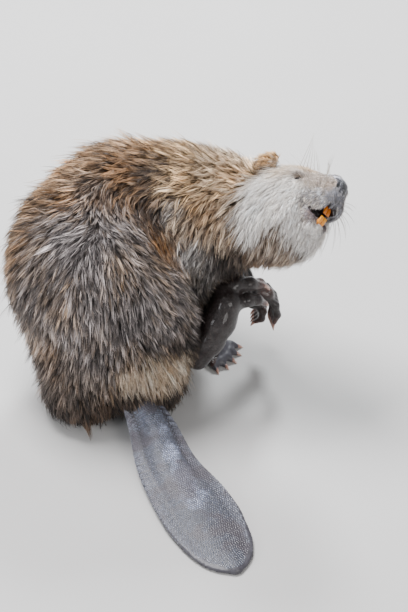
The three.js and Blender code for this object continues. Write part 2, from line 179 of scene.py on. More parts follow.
def neck_field(p):
    """The neck, its throat and the loose skin behind the far ear."""
    d = cone(p, from_head([-122, 0, -30]), (140, 42, 268), 54, 90)
    d = blend(d, cone(p, from_head([-88, 0, -62]), (168, 16, 236), 40, 54), 30)
    return blend(d, ball(p, (186, 58, 306), (44, 44, 44)), 24)


def mirrored(q):
    q = q.copy()
    q[:, 1] = np.abs(q[:, 1])
    return q


def head_mass(q):
    """The furred head in its own frame, out to the tips of the coat."""
    both = mirrored(q)
    d = ball(q, (-98, 0, -8), (62, 55, 50))
    d = blend(d, cone(q, (-20, 0, -6), (-66, 0, -8), 23, 38), 18)
    d = blend(d, ball(both, (-24, 13, -23), (22, 15, 20)), 8)
    d = blend(d, cone(q, (-40, 0, -52), (-100, 0, -56), 15, 44), 14)
    return blend(d, ball(both, (-88, 30, -40), (46, 32, 44)), 22)


def head_depth(q):
    """How deep the coat is, from the lips to the back of the head."""
    depth = np.interp(-q[:, 0], (10, 40, 62, 80, 105, 130), (0.8, 1.8, 2.6, 6.0, 9.0, 12.0))
    return depth.astype(F)


# Limbs and digits are chains of joints: x, y, z, radius.
SHANK = [(72, -62, 205, 52), (134, -62, 96, 27)]
FOOT_RIGHT = [(140, -68, 83, 17), (157, -62, 113, 20), (170, -54, 142, 23), (180, -42, 165, 22)]
TOES_RIGHT = [
    [(191, -38, 160, 11), (210, -32, 162.5, 10), (224, -26, 157, 8), (234, -20, 146, 4.5)],
    [(174, -30, 178, 12), (193, -22, 182, 11.5), (214, -14, 177, 10), (231, -8, 168, 5)],
    [(190, -18, 172, 10), (212, -6, 170, 9), (228, 2, 163, 7.5), (236, 6, 154, 4.5)],
    [(188, -8, 182, 10), (198, -2, 193, 9), (205, 2, 202, 7.5), (209, 4, 209, 4.5)],
    [(192, 2, 158, 10), (214, 10, 156, 9), (229, 15, 148, 7.5), (237, 18, 139, 4.5)],
]
FOOT_LEFT = [(96, 70, 22, 21), (122, 56, 18, 18), (150, 38, 14, 15)]
ARM_RIGHT = [(126, -22, 268, 44), (150, -16, 200, 21), (190, 11, 158, 14), (221, 20, 136, 12),
             (238, 18, 127, 12)]
ARM_LEFT = [(150, 80, 250, 34), (178, 78, 190, 20), (206, 60, 116, 14), (221, 50, 88, 15)]


def toe_fan():
    """The five toes of the foot that stands flat, spread from its ball."""
    toes = []
    for i in range(5):
        turn = -1.15 + 0.3 * i
        joints = []
        for reach, height, radius in ((0, 12, 10), (28, 9, 8), (42, 6, 6), (50, 3.5, 4)):
            x = 146 + reach * math.cos(turn)
            y = 38 + reach * math.sin(turn)
            joints.append((x, y, height, radius))
        toes.append(joints)
    return toes


def finger_right(i):
    y = 10 + 7.5 * i
    return [(238, y + 3, 126, 6.5), (251 - i, y, 113, 5.8), (254 - 2 * i, y - 2, 96, 5.2),
            (250 - 2 * i, y - 3, 83, 4)]


def finger_left(i):
    y = 42 + 8 * i
    return [(225, y, 87, 6.5), (234, y - 6, 77, 5.8), (232, y - 10, 66, 5), (224, y - 9, 60, 4)]


TOES_LEFT = toe_fan()
FINGERS_RIGHT = [finger_right(i) for i in range(4)]
FINGERS_LEFT = [finger_left(i) for i in range(4)]


def slimmer(joints, by=BARE_DEPTH):
    return [(x, y, z, radius - by) for x, y, z, radius in joints]


def digits_field(p, palm, digits, palm_k, web):
    """A hand or foot: its palm and its digits, webbed where `web` is large."""
    d = chain(p, slimmer(palm), palm_k)
    for digit in digits:
        d = blend(d, chain(p, slimmer(digit)), web)
    return d


# Each foot and hand: where it is and how far round it counts; its palm, digits, palm_k and web.
BARE_LIMBS = [
    (FOOT_RIGHT, 40, (FOOT_RIGHT, TOES_RIGHT, 10, 6)),
    (FOOT_LEFT, 40, (FOOT_LEFT, TOES_LEFT, 10, 8)),
    (ARM_RIGHT[3:], 30, (ARM_RIGHT[3:], FINGERS_RIGHT, 12, 2.5)),
    (ARM_LEFT[3:], 30, (ARM_LEFT[2:], FINGERS_LEFT, 12, 2.5)),
]


def bare_parts(p):
    """The feet and hands, whose skin shows."""
    limbs = []
    for place, reach, limb in BARE_LIMBS:
        joints = place + sum(limb[1], [])
        limbs.append(only_near(p, joints, reach, digits_field, *limb))
    return np.minimum.reduce(limbs)


def arm_field(p):
    """Both arms from shoulder to wrist; the coat thins towards the wrist."""
    shoulder, wrist = TRUNK_DEPTH * 0.6, 2
    right = chain(p, slimmer(ARM_RIGHT[:2], shoulder) + slimmer(ARM_RIGHT[2:4], wrist), 12)
    left = chain(p, slimmer(ARM_LEFT[:2], shoulder) + slimmer(ARM_LEFT[2:3], wrist), 12)
    return np.minimum(right, left)


def coat_base(p):
    """The skin under the coat: trunk, neck, head, arms and shank, without its fine features."""
    q = to_head(p)
    d = blend(trunk_field(p) + F(TRUNK_DEPTH), neck_field(p) + F(NECK_DEPTH), 36)
    d = blend(d, head_mass(q) + head_depth(q), 24)
    d = blend(d, arm_field(p), 14)
    d = blend(d, ball(p, (146, -8, 168), (24, 30, 40)), 12)
    return blend(d, chain(p, slimmer(SHANK, SHANK_DEPTH)), 18)


# ---------- the tail ----------
# Its line: x, y, z, half its width, half its thickness.
TAIL = [(50, -108, 46, 23, 25), (74, -146, 26, 33, 23), (98, -217, 13, 43, 14),
        (132, -280, 9, 52, 10), (157, -329, 7, 50, 8), (181, -375, 5, 36, 6), (193, -402, 4, 10, 5)]


def smooth_line(points, steps):
    """A Catmull-Rom line through the points."""
    points = np.array(points, float)
    ends = np.vstack([2 * points[0] - points[1], points, 2 * points[-1] - points[-2]])
    line = []
    for a, b, c, d in zip(ends, ends[1:], ends[2:], ends[3:]):
        for t in np.arange(steps) / steps:
            line.append(0.5 * (2 * b + (c - a) * t + (2 * a - 5 * b + 4 * c - d) * t**2
                               + (3 * b - a - 3 * c + d) * t**3))
    return np.array(line + [points[-1]])


TAIL_LINE = smooth_line(TAIL, 7)
RIM_SHARE = 0.42      # thickness of the tail's flat rim, of the whole
SPINE_SHARE = 0.60    # width of its raised middle, of the whole


def tail_field(p):
    """The tail: a thin flat rim and a raised middle, along one line."""
    d = None
    for a, b in zip(TAIL_LINE.astype(F), TAIL_LINE[1:].astype(F)):
        along = b[:3] - a[:3]
        t = np.clip((p[:, :2] - a[:2]) @ along[:2] / (along[:2] @ along[:2]), 0, 1)
        middle = a[:3] + t[:, None] * along
        wide = a[3] + (b[3] - a[3]) * t - F(BARE_DEPTH)
        thick = a[4] + (b[4] - a[4]) * t - F(BARE_DEPTH)
        way = along[:2] / np.linalg.norm(along[:2])
        r = p - middle
        across = r[:, 0] * way[1] - r[:, 1] * way[0]
        ahead = r[:, 0] * way[0] + r[:, 1] * way[1]
        place = np.stack([across, ahead, r[:, 2]], 1)
        for share_w, share_t, k in ((1.0, RIM_SHARE, 3), (SPINE_SHARE, 1.0, 5)):
            long = np.maximum(wide * 0.5 * share_w, 4)
            piece = ellipsoid(place, np.stack([wide * share_w, long, thick * share_t], 1))
            d = piece if d is None else blend(d, piece, k)
    return d


# ---------- the fine features of the head, in its own frame ----------
MOUTH = [(-37, -33), (12, -28), (12, -58), (-25, -47)]      # the open mouth's outline: forward, up
NOSTRIL = [(-5, 15, 6, 0.8), (-1, 13.6, 6.6, 1.1), (2.5, 10.8, 4.8, 1.3), (3.8, 9, 1, 1.4),
           (3, 9.8, -3, 1.0)]
EAR_PLACE = np.array([-107.0, 43.0, 30.0])
EAR_AXES = axes([1, 0.3, -0.1], [0, 0.45, 0.9])
EYE_BALL = np.array([-52.5, 34.5, 2.5])
EYE_OUT = unit([0.47, 0.62, -0.62])     # the way the eye looks
LID_RADIUS = 7.9


def wedge(q, outline):
    """A prism across the head, whose outline (forward, up) runs clockwise or not."""
    d = None
    middle = np.mean(outline, axis=0)
    for a, b in zip(outline, outline[1:] + outline[:1]):
        side = np.array([b[1] - a[1], a[0] - b[0]], float)
        side /= np.linalg.norm(side)
        if side @ (middle - np.array(a)) > 0:
            side = -side
        plane = (q[:, 0] - F(a[0])) * F(side[0]) + (q[:, 2] - F(a[1])) * F(side[1])
        d = plane if d is None else np.maximum(d, plane)
    return d


def lid_slit(both):
    """The narrow opening between the lids."""
    turned = axes([1.0, -0.1, 0.18], np.cross([1.0, -0.1, 0.18], EYE_OUT))
    return ball(both, EYE_BALL + EYE_OUT * (EYE_RADIUS + 1.0), (4.8, 3.4, 0.8), turned)


def lower_lip(both):
    """The lip round the lower teeth, and its side that runs back to the corner of the mouth."""
    front = cone(both, (-30, 0, -60), (-32, 8, -59), 8, 7)
    return blend(front, cone(both, (-36, 18, -48), (-28, 13, -55), 6, 6), 5)


def upper_lip(both):
    """The lip at each side of the upper teeth."""
    return cone(both, (-30, 17.5, -33.5), (-12, 15, -33), 5.5, 5.5)


def ear(both):
    """A small round shell on a thick base, hollowed on its outer side."""
    shell = ball(both, EAR_PLACE, (24, 5.4, 9.5), EAR_AXES)
    cup = ball(both, EAR_PLACE + EAR_AXES[1] * 5 + EAR_AXES[0] * 3, (17, 4.5, 7), EAR_AXES)
    base = cone(both, (-106, 32, 14), (-106, 41, 23), 15, 10)
    return blend(carve(shell, cup, 3), base, 5)


def head_features(d, p):
    """Nose, mouth, lips, lids and ears, added to the body's field."""
    q = to_head(p)
    both = mirrored(q)
    nose_pad = ball(q, (-7, 0, 1), (12.4, 17.4, 13.4))
    bridge = cone(q, (-15, 0, 9), (-46, 0, 8), 11, 18)
    lip_split = cone(q, (8, 0, -6), (1, 0, -30), 1.4, 2.0)
    tongue = ball(q, (-48, 0, -48), (26, 13, 7))
    d = blend(blend(d, nose_pad, 6), bridge, 8)
    d = carve(d, chain(both, NOSTRIL, 1), 1.5)
    d = carve(d, lip_split, 2.5)
    d = carve(d, wedge(q, MOUTH), 4)
    d = blend(blend(d, lower_lip(both), 6), upper_lip(both), 8)
    d = blend(d, tongue, 3)
    d = blend(d, ball(both, EYE_BALL, [LID_RADIUS] * 3), 7)
    d = carve(d, lid_slit(both), 1.5)
    return blend(d, ear(both), 6)


FLOOR_LEVEL = 0.3     # the lowest that skin and claws reach, so that they rest on the floor


def skin_field(p):
    """The whole skin."""
    d = coat_base(p)
    q = to_head(p)
    near = (q[:, 0] > -150) & (np.abs(q[:, 1]) < 85) & (np.abs(q[:, 2]) < 110)
    if near.any():
        d[near] = head_features(d[near], p[near])
    d = blend(d, bare_parts(p), 7)
    d = blend(d, only_near(p, TAIL, 60, tail_field), 8)
    return np.maximum(d, F(FLOOR_LEVEL) - p[:, 2])


# ---------- from a field to a mesh ----------
STEPS_X = [(-156, 118, 5.0), (118, 232, 1.9), (232, 352, 1.25)]
STEPS_Y = [(-412, -92, 4.0), (-92, 76, 1.6), (76, 160, 4.5)]
STEPS_Z = [(-3, 112, 2.0), (112, 276, 2.5), (276, 420, 1.35)]
BLOCK = 4             # cells along one side of a block of the first, coarse look
MARGIN = 7.0          # blocks that come this near the surface are looked at finely
FAR = F(9)            # the field's value elsewhere


def ruler(runs):
    """Uneven places along one axis, a whole number of blocks of them."""
    places = []
    for low, high, step in runs:
        places.extend(np.arange(low, high, step))
    while (len(places) - 1) % BLOCK:
        places.append(places[-1] + runs[-1][2])
    return np.array(places, F)


def sample_field(field, rulers):
    """The field on the whole grid, worked out finely only close to the surface."""
    shape = tuple(len(r) for r in rulers)
    coarse = [r[::BLOCK] for r in rulers]
    points = np.stack(np.meshgrid(*coarse, indexing="ij"), -1).reshape(-1, 3)
    rough = np.concatenate([field(part) for part in np.array_split(points, 8)])
    rough = rough.reshape([len(c) for c in coarse])
    a, b, c = (n - 1 for n in rough.shape)
    corners = [rough[i:a + i, j:b + j, k:c + k] for i, j, k in itertools.product((0, 1), repeat=3)]
    low, high = np.minimum.reduce(corners), np.maximum.reduce(corners)
    active = (low < MARGIN) & (high > -MARGIN)
    value = np.where(low + high < 0, -FAR, FAR)
    for axis in range(3):
        value = np.repeat(value, BLOCK, axis)
    value = np.pad(value, [(0, 1)] * 3, mode="edge")
    wanted = np.zeros(shape, bool)
    for i, j, k in np.argwhere(active) * BLOCK:
        wanted[i:i + BLOCK + 1, j:j + BLOCK + 1, k:k + BLOCK + 1] = True
    where = np.argwhere(wanted)
    points = np.stack([rulers[axis][where[:, axis]] for axis in range(3)], -1)
    fine = [field(part) for part in np.array_split(points, max(1, len(points) // 200000))]
    value[wanted] = np.concatenate(fine)
    return value


def surface_net(value, rulers):
    """Vertices and quads of the surface where the sampled field is zero."""
    shape = np.array(value.shape)
    stride = np.array([shape[1] * shape[2], shape[2], 1])
    inside = value < 0
    total = np.zeros((value.size, 3), F)
    count = np.zeros(value.size, F)
    quads = []
    for axis in range(3):
        a = [slice(None)] * 3
        b = [slice(None)] * 3
        a[axis] = slice(0, -1)
        b[axis] = slice(1, None)
        crossing = np.argwhere(inside[tuple(a)] != inside[tuple(b)])
        u, v = [i for i in range(3) if i != axis]
        keep = (crossing[:, u] > 0) & (crossing[:, v] > 0)
        keep &= (crossing[:, u] < shape[u] - 1) & (crossing[:, v] < shape[v] - 1)
        crossing = crossing[keep]
        flat = crossing @ stride
        va = value.reshape(-1)[flat]
        vb = value.reshape(-1)[flat + stride[axis]]
        place = np.stack([rulers[i][crossing[:, i]] for i in range(3)], -1)
        gap = rulers[axis][crossing[:, axis] + 1] - rulers[axis][crossing[:, axis]]
        place[:, axis] += gap * va / (va - vb)
        cells = [flat, flat - stride[u], flat - stride[u] - stride[v], flat - stride[v]]
        for cell in cells:
            for i in range(3):
                total[:, i] += np.bincount(cell, place[:, i], value.size).astype(F)
            count += np.bincount(cell, None, value.size).astype(F)
        ring = np.stack(cells, 1)
        turned = (va < 0) ^ (axis == 1)
        ring[~turned] = ring[~turned][:, ::-1]
        quads.append(ring)
    quads = np.concatenate(quads)
    used = np.unique(quads)
    number = np.full(value.size, -1, np.int64)
    number[used] = np.arange(len(used))
    return total[used] / count[used][:, None], number[quads]


def slope(field, points, step=0.5):
    """The field's value and gradient, from four looks around each point."""
    ways = np.array([(1, 1, 1), (1, -1, -1), (-1, 1, -1), (-1, -1, 1)], F)
    value = np.zeros(len(points), F)
    gradient = np.zeros((len(points), 3), F)
    for way in ways:
        v = field(points + way * F(step))
        value += v / 4
        gradient += v[:, None] * way / (4 * step)
    return value, gradient


def slope_in_parts(field, points, step=0.5):
    """The same, a quarter of the points at a time."""
    results = [slope(field, part, step) for part in np.array_split(points, 4)]
    return [np.concatenate(result) for result in zip(*results)]


def settle(field, points, rounds=2, step=0.5):
    """The points moved onto the field's surface."""
    for _ in range(rounds):
        value, gradient = slope(field, points, step)
        size = np.maximum((gradient**2).sum(1), 0.2)
        move = np.clip(value / size, -1.5, 1.5)
        points = points - move[:, None] * gradient
    return points


def grow_skin():
    """The skin's vertices (design frame) and quads."""
    rulers = [ruler(runs) for runs in (STEPS_X, STEPS_Y, STEPS_Z)]
    points, quads = surface_net(sample_field(skin_field, rulers), rulers)
    return settle(skin_field, points), quads


# ---------- Blender helpers ----------


def new_mesh(name, points, faces, material, smooth=True):
    """A mesh object from arrays: points in the design frame, faces all of one size."""
    mesh = bpy.data.meshes.new(name)
    points = to_world(points).astype(F)
    faces = np.asarray(faces, np.int32)
    sides = faces.shape[1]
    mesh.vertices.add(len(points))
    mesh.vertices.foreach_set("co", points.ravel())
    mesh.loops.add(faces.size)
    mesh.loops.foreach_set("vertex_index", faces.ravel())
    mesh.polygons.add(len(faces))
    mesh.polygons.foreach_set("loop_start", np.arange(0, faces.size, sides, dtype=np.int32))
    mesh.polygons.foreach_set("use_smooth", np.full(len(faces), smooth))
    mesh.update(calc_edges=True)
    for one in material if isinstance(material, list) else [material]:
        mesh.materials.append(one)
    piece = bpy.data.objects.new(name, mesh)
    bpy.context.collection.objects.link(piece)
    return piece


def repeated(faces, count, points_each):
    """The triangles of many copies of a small mesh, whose points follow on from each other."""
    starts = np.arange(count) * points_each
    return (np.array(faces)[None] + starts[:, None, None]).reshape(-1, 3)


def add_attribute(piece, name, values):
    """A per-vertex number or colour that a material reads."""
    values = np.asarray(values, F)
    if values.ndim == 1:
        layer = piece.data.attributes.new(name, "FLOAT", "POINT")
        layer.data.foreach_set("value", values)
    else:
        layer = piece.data.attributes.new(name, "FLOAT_COLOR", "POINT")
        values = np.concatenate([values, np.ones((len(values), 1), F)], 1)
        layer.data.foreach_set("color", values.ravel())


# ---------- materials ----------


class Look:
    """A node material being put together around one Principled shader."""

    def __init__(self, name, roughness=0.5, **sockets):
        self.material = bpy.data.materials.new(name)
        self.material.use_nodes = True
        self.tree = self.material.node_tree
        self.shader = self.tree.nodes["Principled BSDF"]
        self.place = self.node("TexCoord").outputs["Object"]
        self.shader.inputs["Roughness"].default_value = roughness
        for socket, value in sockets.items():
            self.shader.inputs[socket.replace("_", " ")].default_value = value

    def node(self, kind, inputs=None, **settings):
        made = self.tree.nodes.new("ShaderNode" + kind)
        for name, value in settings.items():
            setattr(made, name, value)
        for name, value in (inputs or {}).items():
            if isinstance(value, bpy.types.NodeSocket):
                self.tree.links.new(value, made.inputs[name])
            else:
                made.inputs[name].default_value = value
        return made

    def attribute(self, name, output="Color"):
        """What add_attribute has put on the mesh."""
        return self.node("Attribute", attribute_name=name).outputs[output]

    def noise(self, scale, detail=3.0):
        inputs = {"Vector": self.place, "Scale": scale, "Detail": detail}
        return self.node("TexNoise", inputs).outputs["Fac"]

    def cells(self, scale):
        """The distance to the nearest border of a mosaic of cells."""
        inputs = {"Vector": self.place, "Scale": scale}
        return self.node("TexVoronoi", inputs, feature="DISTANCE_TO_EDGE").outputs["Distance"]

    def span(self, value, low, high, new_low, new_high):
        """The value stretched from low..high to new_low..new_high, held at its ends."""
        inputs = {"Value": value, "From Min": low, "From Max": high, "To Min": new_low,
                  "To Max": new_high}
        return self.node("MapRange", inputs).outputs["Result"]

    def times(self, a, b):
        return self.node("Math", {0: a, 1: b}, operation="MULTIPLY").outputs[0]

    def add(self, a, b):
        return self.node("Math", {0: a, 1: b}, operation="ADD").outputs[0]

    def shade(self, colour, by):
        """A colour made darker or lighter by a number."""
        return self.node("VectorMath", {0: colour, "Scale": by}, operation="SCALE").outputs[0]

    def mix(self, a, b, share):
        inputs = {"Factor": share, 6: a, 7: b}
        return self.node("Mix", inputs, data_type="RGBA").outputs[2]

    def bump(self, height, depth, strength=1.0):
        inputs = {"Height": height, "Distance": depth, "Strength": strength}
        return self.node("Bump", inputs).outputs["Normal"]

    def finish(self, colour=None, roughness=None, normal=None):
        for socket, value in (("Base Color", colour), ("Roughness", roughness), ("Normal", normal)):
            if value is not None:
                self.tree.links.new(value, self.shader.inputs[socket])
        return self.material


def mottled_material(name, attribute, mottle, grain, **sockets):
    """An attribute's colours, in patches of tone, with a fine bump.

    `mottle` is the patches' scale, detail, range of noise, darkest and lightest tone; `grain` is
    the bump's scale, depth and strength.
    """
    look = Look(name, **sockets)
    colour = look.attribute(attribute)
    tone = look.span(look.noise(*mottle[:2]), *mottle[2:])
    return look.finish(look.shade(colour, tone), None, look.bump(look.noise(grain[0]), *grain[1:]))


def coat_material():
    """Tufts: dark at the root, lighter to the tip, with fine streaks of tone; the dark root and
    light tip are partly the hair's own colour, partly painted shade deep in the coat and a painted
    highlight on the tips.
    """
    look = Look("beaver coat", 0.48, Specular_IOR_Level=0.4)
    colour = look.attribute("coat_colour_shade_highlight")
    streak = look.span(look.noise(420.0, 2.0), 0.3, 0.7, 0.82, 1.18)
    rough = look.span(look.noise(60.0), 0.3, 0.7, 0.4, 0.56)
    grain = look.bump(look.noise(1400.0, 1.0), 0.0003, 0.5)
    return look.finish(look.shade(colour, streak), rough, grain)


def under_coat_material():
    """The skin where the coat covers it, in the coat's own colours."""
    return mottled_material("beaver under coat", "skin_colour", (300.0, 4.0, 0.25, 0.75, 0.6, 1.3),
                            (900.0, 0.0008, 0.6), roughness=0.8, Specular_IOR_Level=0.2)


def bare_skin_material():
    """Feet and hands: dark wet leather with small scales and creases."""
    look = Look("beaver bare skin", 0.4, Specular_IOR_Level=0.35, Coat_Weight=0.35,
                Coat_Roughness=0.1)
    scales = look.cells(430.0)
    creases = look.noise(230.0, 5.0)
    colour = look.attribute("skin_colour")
    tone = look.times(look.span(scales, 0.0, 0.25, 0.72, 1.08),
                      look.span(creases, 0.3, 0.7, 0.6, 1.5))
    rough = look.span(look.noise(45.0, 3.0), 0.35, 0.65, 0.28, 0.40)
    height = look.add(look.span(scales, 0.0, 0.3, 0.0, 1.0), look.times(creases, 2.5))
    return look.finish(look.shade(colour, tone), rough, look.bump(height, 0.0007, 0.8))


def tail_skin_material():
    """The skin between the tail's scales."""
    return mottled_material("beaver tail skin", "skin_colour", (200.0, 4.0, 0.3, 0.7, 0.7, 1.2),
                            (700.0, 0.0004, 0.5), roughness=0.45, Specular_IOR_Level=0.5)


def tail_scale_material():
    """Scales: slate grey with a purple tint in broad patches, wet and glossy; their colour is made
    lighter on the wet strip as a painted glare, and near the root as painted light.
    """
    look = Look("beaver tail scales", 0.3, Specular_IOR_Level=0.6, Coat_Weight=0.6,
                Coat_Roughness=0.14)
    colour = look.attribute("scale_colour_and_painted_light")
    patch = look.noise(26.0, 4.0)
    tint = look.span(patch, 0.50, 0.60, 0.0, 0.7)
    purple = look.mix(colour, (0.050, 0.036, 0.042, 1.0), tint)
    worn = look.span(look.noise(160.0, 4.0), 0.3, 0.7, 0.8, 1.25)
    wet = look.attribute("wet", "Fac")
    rough = look.span(look.noise(30.0, 5.0), 0.42, 0.60, 0.26, 0.50)
    rough = look.add(rough, look.times(wet, -0.2))
    grain = look.bump(look.noise(900.0, 3.0), 0.0003, 0.5)
    return look.finish(look.shade(purple, worn), rough, grain)


def nose_material():
    """Nose pad: blue-grey, with fine pebbling; the strong tone of its creases is painted shade in
    the cracks and painted highlight on the ridges.
    """
    look = Look("beaver nose", 0.3, Specular_IOR_Level=0.6, Coat_Weight=0.4, Coat_Roughness=0.2)
    pebbles = look.cells(480.0)
    creases = look.noise(170.0, 5.0)
    colour = look.attribute("skin_colour")
    # the creases' strong tone is painted shade in the cracks and painted highlight on the ridges
    tone = look.times(look.span(pebbles, 0.0, 0.25, 0.35, 1.2),
                      look.span(creases, 0.42, 0.58, 0.2, 1.9))
    height = look.add(pebbles, look.times(creases, 1.6))
    return look.finish(look.shade(colour, tone), None, look.bump(height, 0.0016, 1.0))


def mouth_material():
    """The inside of the lips, gums and tongue, in a near-black colour that is painted shade inside
    the open mouth.
    """
    return mottled_material("beaver mouth", "skin_colour", (240.0, 4.0, 0.3, 0.7, 0.75, 1.25),
                            (500.0, 0.0004, 0.6), roughness=0.3, Specular_IOR_Level=0.5,
                            Coat_Weight=0.4, Coat_Roughness=0.15)


def eye_material():
    """Eyes: glossy and nearly black, with a brown cloud."""
    look = Look("beaver eye", 0.06, Specular_IOR_Level=0.6, Coat_Weight=1.0, Coat_Roughness=0.03)
    cloud = look.span(look.noise(500.0, 3.0), 0.4, 0.7, 0, 1)
    return look.finish(look.mix((0.006, 0.004, 0.003, 1.0), (0.035, 0.018, 0.01, 1.0), cloud))


def enamel_material():
    """Incisors: orange enamel, paler and yellower towards the cutting edge, with fine ribs."""
    look = Look("beaver enamel", 0.3, Specular_IOR_Level=0.4, Coat_Weight=0.2, Coat_Roughness=0.12)
    colour = look.attribute("tooth_colour")
    stain = look.span(look.noise(260.0, 5.0), 0.3, 0.7, 0.72, 1.15)
    ribs = look.node("TexWave", {"Vector": look.place, "Scale": 420.0, "Distortion": 1.5})
    grain = look.bump(ribs.outputs["Fac"], 0.0001, 0.5)
    return look.finish(look.shade(colour, stain), None, grain)


def claw_material():
    """Claws: horn, reddish at the base and paler at the tip."""
    return mottled_material("beaver claw", "claw_colour", (500.0, 4.0, 0.3, 0.7, 0.7, 1.25),
                            (800.0, 0.0002, 0.5), roughness=0.32, Specular_IOR_Level=0.5,
                            Coat_Weight=0.2, Coat_Roughness=0.2)


def whisker_material():
    """Whiskers: dark to pale horn, changing along and between them."""
    look = Look("beaver whisker", 0.4, Specular_IOR_Level=0.5)
    tone = look.span(look.noise(90.0), 0.3, 0.7, 0.0, 1.0)
    return look.finish(look.mix((0.09, 0.075, 0.06, 1.0), (0.42, 0.36, 0.3, 1.0), tone))


def floor_material():
    """The studio floor: pale grey, a little uneven in tone."""
    look = Look("pale floor", 0.75, Specular_IOR_Level=0.25)
    colour = look.mix((0.47, 0.46, 0.45, 1.0), (0.53, 0.52, 0.51, 1.0), look.noise(3.0, 5.0))
    return look.finish(colour)


# ---------- the lie and colours of the coat ----------
# Each coat: the colour of its darkest and of its lightest tufts.
COATS = {
    # back and sides
    "back": ((0.02, 0.011, 0.007), (0.98, 0.6, 0.33)),
    "withers": ((0.05, 0.028, 0.016), (1, 0.66, 0.35)),
    "dome": ((0.013, 0.009, 0.009), (0.88, 0.75, 0.69)),
    "fringe": ((0.12, 0.055, 0.02), (1, 0.54, 0.21)),
    "patch": ((0.01, 0.006, 0.005), (0.2, 0.125, 0.085)),
    "flank": ((0.02, 0.013, 0.011), (0.86, 0.68, 0.56)),
    # near black: painted shade in the folds in front of and under the haunch
    "crease_shade": ((0.004, 0.003, 0.003), (0.06, 0.044, 0.036)),
    # lower body and limbs
    # a pale patch of its own, made lighter still: painted light where the haunch above shades it
    "blonde_with_painted_light": ((0.54, 0.4, 0.28), (1, 0.92, 0.78)),
    "rump": ((0.01, 0.007, 0.006), (0.26, 0.18, 0.13)),
    "belly": ((0.035, 0.026, 0.02), (0.26, 0.19, 0.135)),
    "shank": ((0.006, 0.004, 0.004), (0.05, 0.036, 0.03)),
    "arm": ((0.05, 0.04, 0.036), (0.95, 0.86, 0.78)),
    "wrist": ((0.006, 0.005, 0.006), (0.04, 0.038, 0.042)),
    # neck
    "nape": ((0.26, 0.17, 0.1), (1, 0.76, 0.5)),
    "neck": ((0.12, 0.076, 0.05), (1, 0.76, 0.54)),
    "chest": ((0.008, 0.005, 0.004), (0.09, 0.06, 0.044)),
    "throat": ((0.08, 0.052, 0.036), (0.7, 0.52, 0.38)),
    # head
    "crown": ((0.62, 0.49, 0.37), (1, 0.9, 0.78)),
    "brow": ((0.48, 0.34, 0.22), (1, 0.78, 0.56)),
    "eye": ((0.07, 0.04, 0.022), (0.26, 0.165, 0.09)),
    "ear": ((0.42, 0.215, 0.08), (1, 0.62, 0.27)),
    # dark band under each ear flap: painted shade
    "ear_underside_shade": ((0.03, 0.018, 0.011), (0.2, 0.12, 0.07)),
    "muzzle": ((0.35, 0.28, 0.23), (0.82, 0.7, 0.6)),
    "pad": ((0.24, 0.23, 0.25), (0.98, 0.98, 1)),
    "snout": ((0.2, 0.195, 0.215), (0.9, 0.9, 0.97)),
    "lip": ((0.13, 0.105, 0.115), (0.46, 0.4, 0.43)),
    "chin": ((0.8, 0.75, 0.71), (1, 1, 0.99)),
    # near white: the cheeks' own pale colour, raised further as painted light for the strongly lit
    # face
    "cheek_with_painted_light": ((0.86, 0.8, 0.74), (1, 1, 0.99)),
    "jaw": ((0.17, 0.115, 0.08), (0.96, 0.79, 0.63)),
}


def head_zone(place, reach, way, length, coat):
    """A zone given in the head's own frame."""
    return from_head(place), reach, np.array(way, float) @ HEAD, length, coat


def head_pair(place, reach, way, length, coat):
    """The same zone on the right and on the left of the head, given for the left."""
    right, left = (1, -1, 1), (1, 1, 1)
    return [head_zone(np.multiply(place, side), reach, np.multiply(way, side), length, coat)
            for side in (right, left)]


